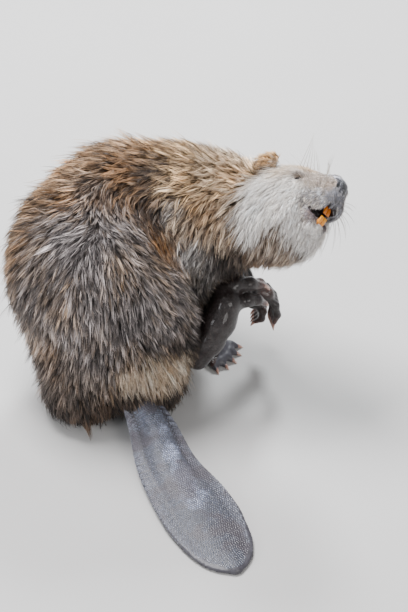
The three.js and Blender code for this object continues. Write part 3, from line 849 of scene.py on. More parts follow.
# Each zone: where it is, how far it reaches, the way the fur lies, its length, its coat.
ZONES = [
    ((46, -22, 314), 34, (0.55, -0.35, -0.65), 24, "dome"),
    ((5, -3, 325), 34, (-0.1, -0.5, -0.6), 24, "dome"),
    ((-50, -40, 300), 38, (-0.6, -0.2, -0.75), 28, "dome"),
    ((-64, -80, 250), 42, (-0.25, -0.1, -1), 27, "dome"),
    ((19, -97, 250), 48, (0.1, -0.2, -1), 26, "dome"),
    ((85, -70, 262), 40, (0.5, -0.1, -0.85), 22, "dome"),
    ((18, -120, 175), 50, (0.05, 0, -1), 27, "dome"),
    ((100, -90, 180), 40, (0.45, -0.1, -0.9), 23, "dome"),
    ((76, -37, 300), 13, (0.5, -0.3, -0.75), 23, "fringe"),
    ((90, -44, 286), 13, (0.5, -0.25, -0.8), 22, "fringe"),
    ((102, -50, 270), 13, (0.45, -0.2, -0.85), 21, "fringe"),
    ((112, -56, 252), 13, (0.4, -0.15, -0.9), 20, "fringe"),
    ((-30, 8, 324), 15, (-0.3, -0.45, -0.7), 25, "fringe"),
    ((8, 2, 328), 15, (0, -0.45, -0.7), 24, "fringe"),
    ((40, -10, 325), 13, (0.3, -0.4, -0.8), 24, "fringe"),
    ((60, -24, 313), 13, (0.4, -0.35, -0.8), 24, "fringe"),
    ((40, 8, 337), 26, (-0.6, -0.35, -0.5), 26, "patch"),
    ((74, 2, 336), 28, (-0.55, -0.35, -0.6), 25, "patch"),
    # painted shade in the fold in front of the haunch
    ((88, -18, 318), 14, (-0.1, -0.4, -0.9), 24, "crease_shade"),
    ((96, 30, 353), 30, (-0.95, -0.2, -0.2), 27, "patch"),
    ((112, -14, 326), 18, (-0.45, -0.4, -0.8), 26, "arm"),
    # painted shade in the fold under the haunch
    ((70, -112, 156), 24, (0.15, 0, -1), 21, "crease_shade"),
    ((108, -93, 156), 24, (0.2, 0, -1), 20, "crease_shade"),
    ((20, -122, 158), 22, (0.05, 0, -1), 23, "crease_shade"),
    ((130, -75, 140), 26, (0.5, 0, -0.85), 14, "shank"),
    ((138, -66, 95), 24, (0.2, 0, -1), 8, "shank"),
    # the pale patch under the haunch, with painted light
    ((48, -124, 110), 19, (0.05, 0, -1), 25, "blonde_with_painted_light"),
    ((82, -116, 106), 26, (0.1, 0, -1), 25, "blonde_with_painted_light"),
    ((112, -100, 98), 24, (0.2, 0, -1), 25, "blonde_with_painted_light"),
    ((110, -95, 45), 34, (0.15, -0.1, -1), 24, "rump"),
    ((40, -130, 62), 26, (0.3, -0.6, -0.8), 20, "rump"),
    ((-40, -128, 78), 44, (0.1, 0, -1), 28, "rump"),
    ((-27, -138, 49), 45, (0.15, -0.1, -1), 30, "rump"),
    ((-25, -128, 105), 42, (0.05, 0, -1), 28, "flank"),
    ((-90, -85, 90), 50, (0.05, 0, -1), 30, "flank"),
    ((-115, -60, 190), 50, (-0.1, 0, -1), 31, "flank"),
    ((-105, 10, 245), 50, (-0.45, 0, -0.9), 32, "back"),
    ((-80, 20, 304), 42, (-0.8, -0.05, -0.6), 35, "back"),
    ((-20, 50, 340), 46, (-1, 0, -0.15), 36, "back"),
    ((45, 69, 354), 46, (-1, 0.05, 0), 36, "back"),
    ((60, 14, 344), 34, (-1, -0.25, -0.15), 30, "back"),
    ((120, 60, 350), 40, (-1, 0.05, 0), 31, "withers"),
    ((125, 10, 350), 34, (-0.95, -0.3, -0.2), 30, "withers"),
    ((128, -24, 314), 22, (-0.55, -0.4, -0.75), 25, "neck"),
    ((143, -50, 268), 30, (-0.45, -0.15, -0.85), 22, "arm"),
    ((140, -48, 225), 26, (-0.1, -0.1, -1), 18, "arm"),
    ((185, 22, 340), 34, (-0.9, -0.25, -0.3), 27, "nape"),
    ((205, 45, 335), 30, (-0.95, 0.05, -0.2), 24, "nape"),
    ((178, -27, 309), 30, (-0.65, -0.35, -0.7), 27, "neck"),
    ((185, -54, 258), 32, (-0.2, 0, -1), 28, "chest"),
    ((168, -44, 264), 24, (-0.25, 0, -1), 24, "chest"),
    ((205, 0, 235), 40, (0, 0.1, -1), 26, "chest"),
    ((225, -60, 262), 26, (-0.3, 0, -1), 23, "throat"),
    ((225, -20, 270), 30, (-0.2, 0.1, -1), 22, "throat"),
    ((150, 20, 130), 55, (0, 0, -1), 22, "belly"),
    ((110, 20, 60), 45, (0.1, 0, -1), 20, "belly"),
    ((70, 150, 120), 60, (-0.05, 0, -1), 27, "rump"),
    ((40, 150, 220), 60, (-0.4, 0.2, -0.85), 30, "flank"),
    ((-50, 110, 120), 60, (-0.2, 0, -1), 30, "flank"),
    ((-60, 100, 250), 55, (-0.6, 0.2, -0.7), 31, "back"),
    ((-125, 20, 130), 55, (-0.05, 0, -1), 31, "flank"),
    ((-80, 40, 40), 50, (0, 0, -1), 28, "rump"),
    ((120, 115, 260), 45, (-0.6, 0.2, -0.8), 27, "flank"),
    ((165, 95, 240), 40, (-0.2, 0.1, -1), 24, "chest"),
    ((190, 75, 300), 36, (-0.8, 0.25, -0.5), 26, "neck"),
    ((168, -12, 180), 26, (0.6, 0.3, -0.7), 9, "wrist"),
    ((205, 15, 145), 24, (0.85, 0.25, -0.4), 6, "wrist"),
    ((195, 68, 140), 26, (0.3, -0.2, -0.95), 8, "wrist"),
    head_zone((-95, 0, 45), 30, (-1, 0, -0.1), 12, "crown"),
    head_zone((-122, -22, 36), 24, (-1, 0, 0.1), 24, "nape"),
    *head_pair((-108, 50, 36), 18, (-0.9, 0.3, 0.5), 10, "ear"),
    # painted shade under the ear flap
    *head_pair((-105, 44, 14), 9, (-1, 0.1, 0.1), 8, "ear_underside_shade"),
    *head_pair((-55, 16, 32), 15, (-1, 0, 0.1), 7, "brow"),
    *head_pair((-50, 39, -1), 6, (-1, 0, -0.1), 4, "eye"),
    *head_pair((-76, 42, 8), 15, (-0.8, 0.1, -0.6), 12, "crown"),
    *head_pair((-30, 22, 4), 15, (-1, 0, 0), 4, "muzzle"),
    head_zone((-20, 0, 18), 12, (-1, 0, 0.2), 3.5, "pad"),
    head_zone((-6, 0, -20), 9, (-0.6, 0, -0.8), 4.5, "snout"),
    *head_pair((-28, 30, -26), 12, (-0.7, 0, -0.7), 6, "pad"),
    *head_pair((-30, 16, -52), 7, (-0.7, 0.3, -0.7), 3.5, "lip"),
    # the cheeks, with painted light
    *head_pair((-58, 42, -18), 18, (-0.5, 0, -0.85), 13, "cheek_with_painted_light"),
    *head_pair((-95, 58, -20), 28, (-0.4, 0, -0.9), 25, "cheek_with_painted_light"),
    *head_pair((-100, 55, -62), 26, (-0.35, 0, -0.95), 27, "cheek_with_painted_light"),
    head_zone((-34, -4, -66), 9, (-0.5, 0.3, -0.8), 6, "chin"),
    head_zone((-48, -20, -68), 17, (-0.5, 0.3, -0.8), 13, "chin"),
    head_zone((-48, 20, -68), 17, (-0.5, 0.3, -0.8), 13, "chin"),
    head_zone((-75, -24, -90), 22, (-0.5, 0.5, -0.7), 25, "jaw"),
    head_zone((-75, 24, -90), 22, (-0.5, 0.5, -0.7), 25, "jaw"),
    head_zone((-100, 0, -98), 24, (-0.5, 0.4, -0.8), 28, "throat"),
]
ZONE_SHARPNESS = 2.2  # how narrow the borders between zones are
ZONE_PLACE = np.array([zone[0] for zone in ZONES], F)
ZONE_REACH = np.array([zone[1] for zone in ZONES], F)
ZONE_WAY = np.array([unit(zone[2]) for zone in ZONES], F)
ZONE_LENGTH = np.array([zone[3] for zone in ZONES], F)
ZONE_DARK = np.array([COATS[zone[4]][0] for zone in ZONES], F)
ZONE_LIGHT = np.array([COATS[zone[4]][1] for zone in ZONES], F)


def zone_shares(points):
    """How much of each zone there is at each point; the shares of a point add up to one."""
    apart = ((points[:, None, :] - ZONE_PLACE) ** 2).sum(2) / ZONE_REACH**2
    shares = np.exp(-ZONE_SHARPNESS * (apart - apart.min(1, keepdims=True)))
    return shares / shares.sum(1, keepdims=True)


def in_parts(work, points, size=60000):
    """The work done on a part of the points at a time, its results joined."""
    results = [work(part) for part in np.array_split(points, max(1, len(points) // size))]
    return np.concatenate(results)


def zone_mix(points, values):
    """The zones' values, mixed at each point by how much there is of each zone."""
    return in_parts(lambda part: zone_shares(part) @ values, points)


def normalised(vectors):
    return vectors / np.maximum(np.linalg.norm(vectors, axis=1, keepdims=True), 1e-6)


def lie(points, normals):
    """The way the fur lies at each point, along the surface."""
    way = zone_mix(points, ZONE_WAY)
    way = way - (way * normals).sum(1, keepdims=True) * normals
    return normalised(way)


# ---------- the skin piece ----------
FUR, BARE, TAIL_SKIN, NOSE, MOUTH_SKIN = range(5)
BARE_COLOUR = np.array((0.016, 0.010, 0.009))
DIGIT_COLOUR = np.array((0.110, 0.052, 0.042))
DIGIT_PINK_REACH = 10.0     # how far the digits' colour goes from their ends
TAIL_COLOUR = (0.050, 0.047, 0.057)
NOSE_COLOUR = np.array((0.030, 0.031, 0.040))
# the pale top of the nose pad: a painted highlight
NOSE_HIGHLIGHT_COLOUR = np.array((0.360, 0.350, 0.400))
# near black: painted shade inside the open mouth
MOUTH_SHADE_COLOUR = (0.014, 0.008, 0.008)


def skin_regions(points):
    """What kind of skin each point is; the nose pad has a crumpled border with the fur."""
    q = to_head(points)
    both = mirrored(q)
    coat = in_parts(coat_base, points)
    kind = np.full(len(points), FUR)
    kind[in_parts(bare_parts, points) < coat - 0.5] = BARE
    kind[only_near(points, TAIL, 60, tail_field) < coat - 0.5] = TAIL_SKIN
    crumple = 1.2 * np.sin(q[:, 1] * 0.9) + 0.8 * np.sin(q[:, 2] * 1.3 + q[:, 1])
    kind[ball(q, (-7, 0, 2), (15.5, 17.0, 15.0)) < crumple] = NOSE
    behind_lip = (both[:, 1] < 12) | (q[:, 2] < -39)
    kind[(wedge(q, MOUTH) < 1.6) & behind_lip & (lower_lip(both) > 1.0)] = MOUTH_SKIN
    kind[lid_slit(both) < 0.6] = BARE
    return kind


def skin_colours(points, kind):
    """The skin's colour at each point: under the coat, the coat's own markings, darker; a painted
    highlight on top of the nose pad, and painted shade inside the mouth.
    """
    colour = zone_mix(points, ZONE_DARK * 0.8 + ZONE_LIGHT * 0.1)
    bare = kind == BARE
    digits = TOES_RIGHT + TOES_LEFT + FINGERS_RIGHT + FINGERS_LEFT
    ends = np.array([digit[-1][:3] for digit in digits], F)
    apart = np.linalg.norm(points[bare][:, None, :] - ends, axis=2).min(1)
    pink = np.exp(-(apart / DIGIT_PINK_REACH) ** 2)[:, None]
    colour[bare] = BARE_COLOUR * (1 - pink) + DIGIT_COLOUR * pink
    colour[kind == TAIL_SKIN] = TAIL_COLOUR
    q = to_head(points[kind == NOSE])
    # the top of the nose pad is coloured pale: a painted highlight over its dark grey
    nose_highlight = np.clip((q[:, 2:] - 2 - 0.7 * (q[:, :1] + 6)) / 9, 0, 1)
    colour[kind == NOSE] = NOSE_COLOUR * (1 - nose_highlight) + NOSE_HIGHLIGHT_COLOUR * nose_highlight
    colour[kind == MOUTH_SKIN] = MOUTH_SHADE_COLOUR
    return colour


SINGLE_FLESH = ["head", "lower_jaw", "neck", "chest", "back", "rump", "tail", "nose"]
PAIRED_FLESH = ["thigh", "upper_arm", "forearm", "ear", "hand", "foot_hind"]
FLESH = SINGLE_FLESH + [f"{name}_{side}" for name in PAIRED_FLESH for side in ("right", "left")]


def make_skin():
    """The one skin and its kinds of material; returns what the coat grows from."""
    points, quads = grow_skin()
    kind = skin_regions(points)
    looks = [under_coat_material(), bare_skin_material(), tail_skin_material(), nose_material(),
             mouth_material()]
    skin = new_mesh("skin", points, quads, looks)
    skin.data.polygons.foreach_set("material_index", kind[quads].max(1).astype(np.int32))
    add_attribute(skin, "skin_colour", skin_colours(points, kind))
    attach(skin, "root")
    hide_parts(*FLESH)
    return skin, points, quads, kind


def unwrap(skin):
    """A UV map named OFBake of the skin's own shape; returns it for each corner of each face."""
    skin.data.uv_layers.new(name="OFBake")
    bpy.context.view_layer.objects.active = skin
    skin.select_set(True)
    bpy.ops.object.mode_set(mode="EDIT")
    bpy.ops.mesh.select_all(action="SELECT")
    bpy.ops.uv.smart_project(angle_limit=math.radians(66), island_margin=0.002)
    bpy.ops.object.mode_set(mode="OBJECT")
    skin.select_set(False)
    corners = np.zeros(len(skin.data.loops) * 2, F)
    skin.data.uv_layers["OFBake"].data.foreach_get("uv", corners)
    return corners.reshape(-1, 4, 2)


# ---------- the coat ----------
TUFTS = 138000
MOST_TUFTS = 19000              # in one piece
RINGS = 3                       # places along a tuft, its tip included
HALF_PATCH = 0.0015             # half the side of a tuft's patch on the bake map
FLOOR_CLEAR = 0.7               # the lowest that fur reaches
ROOM = 0.045                    # how much more room a tuft takes for each mm of its length
LENGTH_SPREAD = 0.2             # of a tuft's length
TUFT_WIDTH = 0.38
WIDTH_BY_LENGTH = 0.024
LEADER_SHARE = 0.20             # tufts that lead a lock
CLUMP_PULL = (0.0, 0.30, 0.74)  # how far each ring of a tuft is drawn to its leader's
LOCK_TURN_HEIGHTS = (230, 310)  # whole locks turn from the lie of the fur, more on the back:
LOCK_TURNS = (0.10, 0.25)       # the spread of the turn at those heights, in radians
HEAD_LOCK_TURN = 0.12
TUFT_TURN = 0.08                # and each tuft in its lock
WAVE = 0.035                    # sideways wave of a tuft, of its length
WAVE_SIDES = (1, -0.6)          # where it swings to at each ring
RISE = 0.36                     # how high a tip stands over the skin, of the tuft's length
RISE_SPREAD = 0.13
STRAY_SHARE = 0.06              # tufts that stand out from the rest
STRAY_RISE = 0.28               # and how much higher
LOCK_TONES = (0.45, 1.5)        # the beta distribution of the locks' tones, dark to light,
TUFT_TONES = (0.6, 2.0)         # and of what each tuft adds,
TUFT_TONE_SHARE = 0.42          # at most this much
DRIFT = 0.34                    # slow change of tone over the body
EDGE_MIX = 6.0                  # how far coats mingle at their borders, on the body
HEAD_EDGE_MIX = 0.3             # and on the head, of that
WARM_SHIFT = np.array([0.08, -0.07, -0.26])     # a warmer lock's colour, beside its coat's


def scatter_roots(points, quads, kind, corners):
    """Roots on the furred skin, closer together where the fur is short."""
    faces = np.concatenate([quads[:, [0, 1, 2]], quads[:, [0, 2, 3]]])
    uv = np.concatenate([corners[:, [0, 1, 2]], corners[:, [0, 2, 3]]])
    furred = (kind[faces] == FUR).all(1)
    faces, uv = faces[furred], uv[furred]
    a, b, c = (points[faces[:, i]] for i in range(3))
    area = np.linalg.norm(np.cross(b - a, c - a), axis=1) / 2
    length = zone_mix((a + b + c) / 3, ZONE_LENGTH)
    weight = area / (1.0 + ROOM * length) ** 2
    face = chance.choice(len(faces), TUFTS, p=weight / weight.sum())
    u, v = chance.random((2, TUFTS))
    outside = u + v > 1
    u, v = np.where(outside, 1 - u, u), np.where(outside, 1 - v, v)
    share = np.stack([1 - u - v, u, v], 1)[:, :, None].astype(F)
    corner_points = np.stack([a[face], b[face], c[face]], 1)
    return (corner_points * share).sum(1), (uv[face] * share).sum(1)


def turn_about(ways, normals, angles):
    """The ways turned about the normals."""
    side = np.cross(normals, ways)
    return ways * np.cos(angles)[:, None] + side * np.sin(angles)[:, None]


def find_leaders(roots):
    """The number of the tuft that leads each tuft's lock."""
    leaders = np.nonzero(chance.random(len(roots)) < LEADER_SHARE)[0]
    tree = kdtree.KDTree(len(leaders))
    for number, leader in enumerate(leaders):
        tree.insert(roots[leader], number)
    tree.balance()
    return leaders[[tree.find(root)[1] for root in roots.tolist()]]


def grow_paths(roots, length, leader):
    """The rings' places of each tuft: along the lie of the fur, at a height over the skin."""
    count = len(roots)
    normal = normalised(slope_in_parts(skin_field, roots)[1])
    off_base = np.abs(in_parts(coat_base, roots)) > 1.5
    lock_turn = np.interp(roots[:, 2], LOCK_TURN_HEIGHTS, LOCK_TURNS)
    lock_turn[regions_of(roots) == "coat_head"] = HEAD_LOCK_TURN
    angle = (chance.normal(0, 1, count) * lock_turn)[leader] + chance.normal(0, TUFT_TURN, count)
    wave = chance.normal(0, WAVE, count)[leader] * length
    stray = chance.random(count) < STRAY_SHARE
    share = chance.normal(RISE, RISE_SPREAD, count)
    share = np.clip((share + share[leader]) / 2, 0.14, 0.7)
    rise = length * np.where(stray, share + STRAY_RISE, share)
    way = turn_about(lie(roots, normal), normal, angle)
    straight = [roots + length[:, None] * (way * 0.9 + normal * 0.35) * (i / (RINGS - 1))
                for i in range(RINGS)]
    path = [roots - normal * 0.6]
    here = roots
    for i in range(1, RINGS):
        here = here + way * (length / (RINGS - 1))[:, None]
        value, gradient = slope_in_parts(coat_base, here)
        normal = normalised(gradient)
        height = rise * (i / (RINGS - 1)) ** 0.75
        here = here + normal * (height - value)[:, None]
        sideways = WAVE_SIDES[i - 1] * wave[:, None]
        path.append(here + np.cross(normal, way) * sideways)
        way = turn_about(lie(here, normal), normal, angle)
    path = np.stack(path, 1)
    path[off_base] = np.stack(straight, 1)[off_base]
    return path


def clump(path, leader, length):
    """Pulls tufts towards their leaders, so that the coat parts into pointed locks."""
    strength = np.clip(length / 24, 0.15, 1.0) * chance.uniform(0.5, 1.2, len(path))
    pull = np.minimum(strength[:, None] * np.array(CLUMP_PULL), 0.92)[:, :, None].astype(F)
    return path + pull * (path[leader] - path)


def drift(points):
    """A slow change over the body, about -1 to 1, that keeps the coat's tone from being even."""
    waves = ((0.051, 0.023, -0.035, 0.3), (-0.028, 0.049, 0.044, 1.9), (0.083, -0.061, 0.078, 4.0))
    return sum(np.sin(points @ np.array(wave[:3], F) + wave[3]) for wave in waves) / 2


def tuft_colours(roots, leader):
    """Each tuft's own colour, between the dark and the light of its coat, and how even it is."""
    count = len(roots)
    mingle = EDGE_MIX * np.where(regions_of(roots) == "coat_head", HEAD_EDGE_MIX, 1.0)[:, None]
    shares = in_parts(zone_shares, roots + chance.normal(0, 1, (count, 3)) * mingle)
    tone = chance.beta(*LOCK_TONES, count)[leader]
    tone += chance.beta(*TUFT_TONES, count) * TUFT_TONE_SHARE
    tone *= 1 + DRIFT * drift(roots)
    tone = np.clip(tone, 0, 1.15)[:, None]
    colour = (shares @ ZONE_DARK) * (1 - tone) + (shares @ ZONE_LIGHT) * tone
    pale = np.clip((shares @ ZONE_DARK).mean(1) * 1.3, 0, 0.92)
    warm = chance.normal(0, 1, count)[leader] * 0.4 + drift(roots[:, [1, 2, 0]]) * 0.6
    warm *= 1 - pale
    colour = colour * (1 + np.clip(warm, -0.25, 1.7)[:, None] * WARM_SHIFT)
    return np.maximum(colour, 0.004), pale


RING_WIDTH = np.array([0.9, 0.84], F)           # of the tuft's width, before it comes to its tip
# partly the hair's own colour, partly painted shade deep in the coat at the root and a painted
# highlight at the tip
RING_TONE_SHADE_HIGHLIGHT = np.array([0.14, 0.60, 1.6], F)      # dark at the root, light at the tip
CORNERS = np.array([(-0.5, -0.05), (0.5, -0.05), (0.0, 0.30)], F)   # of a tuft, across it


def tuft_faces():
    """The triangles of one tuft: two rings of three corners, then the tip."""
    faces = [(0, 2, 1)]
    for i in range(3):
        j = (i + 1) % 3
        faces.append((i, j, 3 + j))
        faces.append((i, 3 + j, 3 + i))
        faces.append((3 + i, 3 + j, 6))
    return faces


def tuft_mesh(path, width, colour, patch, pale):
    """Points, faces, colours and bake map of solid tapering tufts."""
    count = len(path)
    points = np.zeros((count, 7, 3), F)
    uv = np.zeros((count, 7, 2), F)
    tones_shade_highlight = np.zeros((count, 7), F)
    for ring in range(2):
        along = normalised(path[:, ring + 1] - path[:, max(ring - 1, 0)])
        normal = normalised(slope_in_parts(coat_base, path[:, ring], 2.0)[1])
        side = normalised(np.cross(along, normal))
        out = np.cross(side, along)
        for corner, (across, up) in enumerate(CORNERS):
            reach = (width * RING_WIDTH[ring])[:, None]
            at = ring * 3 + corner
            points[:, at] = path[:, ring] + side * across * reach + out * up * reach
            uv[:, at] = patch + np.array([across * 2 * HALF_PATCH, (ring - 1) * HALF_PATCH])
            # each ring's tone: painted shade near the root, painted highlight at the tip, less of
            # both on pale coats
            tones_shade_highlight[:, at] = RING_TONE_SHADE_HIGHLIGHT[ring] ** (1 - pale)
    points[:, 6] = path[:, 2]
    uv[:, 6] = patch + np.array([0, HALF_PATCH])
    tones_shade_highlight[:, 6] = RING_TONE_SHADE_HIGHLIGHT[2] ** (1 - pale)
    points[:, :, 2] = np.maximum(points[:, :, 2], FLOOR_CLEAR)
    faces = repeated(tuft_faces(), count, 7)
    colours = colour[:, None, :] * tones_shade_highlight[:, :, None]
    return points.reshape(-1, 3), faces, colours.reshape(-1, 3), uv.reshape(-1, 2)


def regions_of(roots):
    """The name of the coat piece each tuft belongs to."""
    q = to_head(roots)
    name = np.where(roots[:, 1] < 20, "coat_side_right", "coat_side_left").astype(object)
    name[(roots[:, 2] > 285) & (roots[:, 0] < 150)] = "coat_back"
    name[roots[:, 2] < 120] = "coat_rump"
    name[(roots[:, 0] > 125) & (roots[:, 2] < 285)] = "coat_chest"
    name[(roots[:, 0] > 150) & (roots[:, 2] >= 285)] = "coat_neck"
    on_head = (q[:, 0] > -125) & (np.abs(q[:, 1]) < 75) & (q[:, 2] > -112)
    name[on_head & (roots[:, 0] > 195)] = "coat_head"
    return name


def make_coat(points, quads, kind, corners):
    """The whole coat, in pieces."""
    roots, patch = scatter_roots(points, quads, kind, corners)
    uneven = np.clip(chance.normal(1.0, LENGTH_SPREAD, TUFTS), 0.5, 1.5)
    length = zone_mix(roots, ZONE_LENGTH) * uneven
    leader = find_leaders(roots)
    path = clump(grow_paths(roots, length, leader), leader, length)
    colour, pale = tuft_colours(roots, leader)
    width = (TUFT_WIDTH + WIDTH_BY_LENGTH * length) * chance.uniform(0.7, 1.3, TUFTS)
    names = regions_of(roots)
    look = coat_material()
    for name in sorted(set(names)):
        members = np.nonzero(names == name)[0]
        parts = np.array_split(members, math.ceil(len(members) / MOST_TUFTS))
        for number, part in enumerate(parts):
            made = tuft_mesh(path[part], width[part], colour[part], patch[part], pale[part])
            label = name if len(parts) == 1 else f"{name}_{number + 1}"
            piece = new_mesh(label, made[0], made[1], look)
            add_attribute(piece, "coat_colour_shade_highlight", made[2])
            layer = piece.data.uv_layers.new(name="OFBake")
            layer.data.foreach_set("uv", made[3][made[1]].astype(F).ravel())
            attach(piece, "root")


# ---------- the tail's scales ----------
SCALE_ROW = 2.9             # from row to row
SCALE_ACROSS = 3.5          # from scale to scale in a row
FUR_END = -112              # the scales begin where the fur of the rump ends, along Y
SCALE_COLOUR = np.array([0.105, 0.118, 0.165])
SCALE_RIM_COLOUR = np.array([0.240, 0.250, 0.310])


def tail_place(along):
    """Middle, direction and half width of the tail at a share of its length."""
    at = np.clip(along, 0, 1) * (len(TAIL_LINE) - 1)
    low = int(min(at, len(TAIL_LINE) - 2))
    row = TAIL_LINE[low] + (TAIL_LINE[low + 1] - TAIL_LINE[low]) * (at - low)
    way = TAIL_LINE[low + 1][:2] - TAIL_LINE[low][:2]
    return row, way / np.linalg.norm(way)


def ring_turns(wide, thick, gap, odd):
    """Angles round a flat oval, evenly spaced along its edge; odd rows are staggered."""
    fine = np.linspace(0, 2 * math.pi, 181)
    steps = np.hypot(np.diff(wide * np.cos(fine)), np.diff(thick * np.sin(fine)))
    reach = np.concatenate([[0], np.cumsum(steps)])
    count = max(3, round(reach[-1] / gap))
    return np.interp((np.arange(count) + odd / 2) / count * reach[-1], reach, fine)


def scale_seeds():
    """Where the scales sit, in staggered rings round the tail, and how near its rim each is."""
    steps = np.linalg.norm(np.diff(TAIL_LINE[:, :2], axis=0), axis=1)
    reach = np.concatenate([[0], np.cumsum(steps)])
    seeds = []
    for number, far in enumerate(np.arange(4, reach[-1] - 1.5, SCALE_ROW)):
        share = np.interp(far, reach, np.linspace(0, 1, len(reach)))
        row, way = tail_place(share)
        for turn in ring_turns(row[3], row[4], SCALE_ACROSS, number % 2):
            across = math.cos(turn) * row[3]
            bow = 5.0 * math.cos(turn) ** 2
            x = row[0] + way[1] * across - way[0] * bow
            y = row[1] - way[0] * across - way[1] * bow
            z = max(row[2] + math.sin(turn) * row[4], 0.2)
            seeds.append((x, y, z, way[0], way[1], abs(math.cos(turn))))
    return np.array(seeds, F)


def wet_glare_strip(places):
    """1 where water stands on the tail, where the scales are smoother and coloured lighter as a
    painted glare: an uneven strip on the near half of its upper side.
    """
    patches = cone(places, (87, -164, 24), (140, -288, 14), 11, 17) + 5 * drift(places * 2.5)
    return np.clip(0.5 - patches / 8, 0, 1)


def make_scales():
    """Small flat plates in rings, each lying over the next towards the tip."""
    seeds = scale_seeds()
    places = settle(tail_field, seeds[:, :3], 5)
    places[:, 2] = np.maximum(places[:, 2], FLOOR_LEVEL)
    keep = places[:, 1] < FUR_END
    places, seeds = places[keep], seeds[keep]
    ways = np.pad(seeds[:, 3:5], ((0, 0), (0, 1)))
    normal = normalised(slope(tail_field, places, 1.0)[1])
    normal[places[:, 2] <= FLOOR_LEVEL + 0.05] = (0, 0, -1)
    way = normalised(ways - (ways * normal).sum(1, keepdims=True) * normal)
    side = np.cross(normal, way)
    count = len(places)
    wet = wet_glare_strip(places)
    size = chance.uniform(0.9, 1.06, count)
    points = [places + normal * 0.42 + way * 0.4]
    for radius, height in ((0.72, 0.30), (0.98, -0.34)):
        for i in range(6):
            turn = math.radians(60 * i)
            forward = math.cos(turn) * SCALE_ROW * 0.64 * radius
            across = math.sin(turn) * SCALE_ACROSS * 0.56 * radius
            tilt = 0.12 * math.cos(turn) * (1 - wet[:, None])
            spot = way * (size * forward)[:, None] + side * (size * across)[:, None]
            points.append(places + spot + normal * (height + tilt))
    points = np.stack(points, 1)
    points[:, :, 2] = np.maximum(points[:, :, 2], 0.0)
    faces = []
    for i in range(6):
        j = (i + 1) % 6
        faces += [(0, 1 + i, 1 + j), (1 + i, 7 + i, 7 + j), (1 + i, 7 + j, 1 + j)]
    faces = repeated(faces, count, 13)
    rim = np.clip((seeds[:, 5] - 0.62) / 0.35, 0, 1)[:, None] ** 1.5
    # per-scale tone at random, and up to nearly twice as light on the wet strip: a painted glare
    tone = chance.uniform(0.6, 1.4, count)[:, None] * (0.60 + 1.3 * wet[:, None])
    # lighter towards the root: painted light where the rump shades the tail; darker towards the tip
    tone *= np.interp(places[:, 1], (-330, -230, -140), (0.8, 1.0, 1.6))[:, None]
    colour = (SCALE_COLOUR * (1 - rim) + SCALE_RIM_COLOUR * rim) * tone
    piece = new_mesh("tail_scales", points.reshape(-1, 3), faces, tail_scale_material())
    add_attribute(piece, "scale_colour_and_painted_light", np.repeat(colour, 13, 0))
    add_attribute(piece, "wet", np.repeat(wet, 13))
    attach(piece, "root")


# ---------- claws, teeth, eyes and whiskers ----------


def bands(rings, sides):
    """The triangles between one ring of points and the next."""
    faces = []
    for ring in range(rings - 1):
        for k in range(sides):
            a, b = ring * sides + k, ring * sides + (k + 1) % sides
            faces += [(a, b, b + sides), (a, b + sides, a + sides)]
    return faces


def tube(path, radii, sides=8, flat=1.0, up=(0, 0, 1)):
    """Points and triangles of a tapering tube that ends in a point."""
    path = np.array(path, float)
    points = []
    for i, (place, radius) in enumerate(zip(path[:-1], radii)):
        along = unit(path[i + 1] - path[max(i - 1, 0)])
        side = unit(np.cross(along, up))
        out = np.cross(side, along)
        for k in range(sides):
            turn = 2 * math.pi * k / sides
            across = side * math.cos(turn) * radius * flat
            points.append(place + across + out * math.sin(turn) * radius)
    points.append(path[-1])
    points.append(path[0])
    tip = len(points) - 2
    faces = bands(len(path) - 1, sides)
    last = (len(path) - 2) * sides
    for k in range(sides):
        faces.append((last + k, last + (k + 1) % sides, tip))
        faces.append((k, tip + 1, (k + 1) % sides))
    return np.array(points), np.array(faces)


def joined(name, parts, material):
    """One piece from several (points, faces, colours)."""
    points, faces, colours, start = [], [], [], 0
    for part_points, part_faces, part_colours in parts:
        points.append(part_points)
        faces.append(part_faces + start)
        colours.append(part_colours)
        start += len(part_points)
    points = np.concatenate(points)
    points[:, 2] = np.maximum(points[:, 2], FLOOR_LEVEL)
    piece = new_mesh(name, points, np.concatenate(faces), material)
    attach(piece, "root")
    return piece, np.concatenate(colours)


CLAW_RINGS = 7
CLAW_BASE = np.array([0.22, 0.095, 0.075])
CLAW_TIP = np.array([0.62, 0.40, 0.32])


def claw(digit, length, radius, drop):
    """A curved claw from inside the last joint of a digit, bending down towards its tip."""
    tip = np.array(digit[-1][:3], float)
    way = unit(tip - np.array(digit[-2][:3], float))
    side = unit(np.cross(way, (0.13, 0.21, 0.97)))
    down = np.cross(way, side)
    path = []
    for i in range(CLAW_RINGS + 1):
        t = i / CLAW_RINGS
        path.append(tip + way * length * t * 0.97 + down * drop * (t * t - 0.12) * length)
    radii = [radius * (1 - (i / CLAW_RINGS) ** 1.7) ** 0.8 for i in range(CLAW_RINGS)]
    points, faces = tube(path, radii, 8, 0.72, -down)
    share = np.clip((points - tip) @ way / length, 0, 1)[:, None]
    return points, faces, CLAW_BASE * (1 - share) + CLAW_TIP * share


# Each set of claws: its digits, and a claw's length, radius and drop.
CLAW_SETS = {
    "claws_hind_right": (TOES_RIGHT, 13, 3.4, 0.25),
    "claws_hind_left": (TOES_LEFT, 11.5, 3.3, 0.2),
    "claws_hand_right": (FINGERS_RIGHT, 15, 3.1, 0.3),
    "claws_hand_left": (FINGERS_LEFT, 13, 3.0, 0.3),
}


def make_claws():
    look = claw_material()
    for name, (digits, *shape) in CLAW_SETS.items():
        piece, colour = joined(name, [claw(digit, *shape) for digit in digits], look)
        add_attribute(piece, "claw_colour", colour)


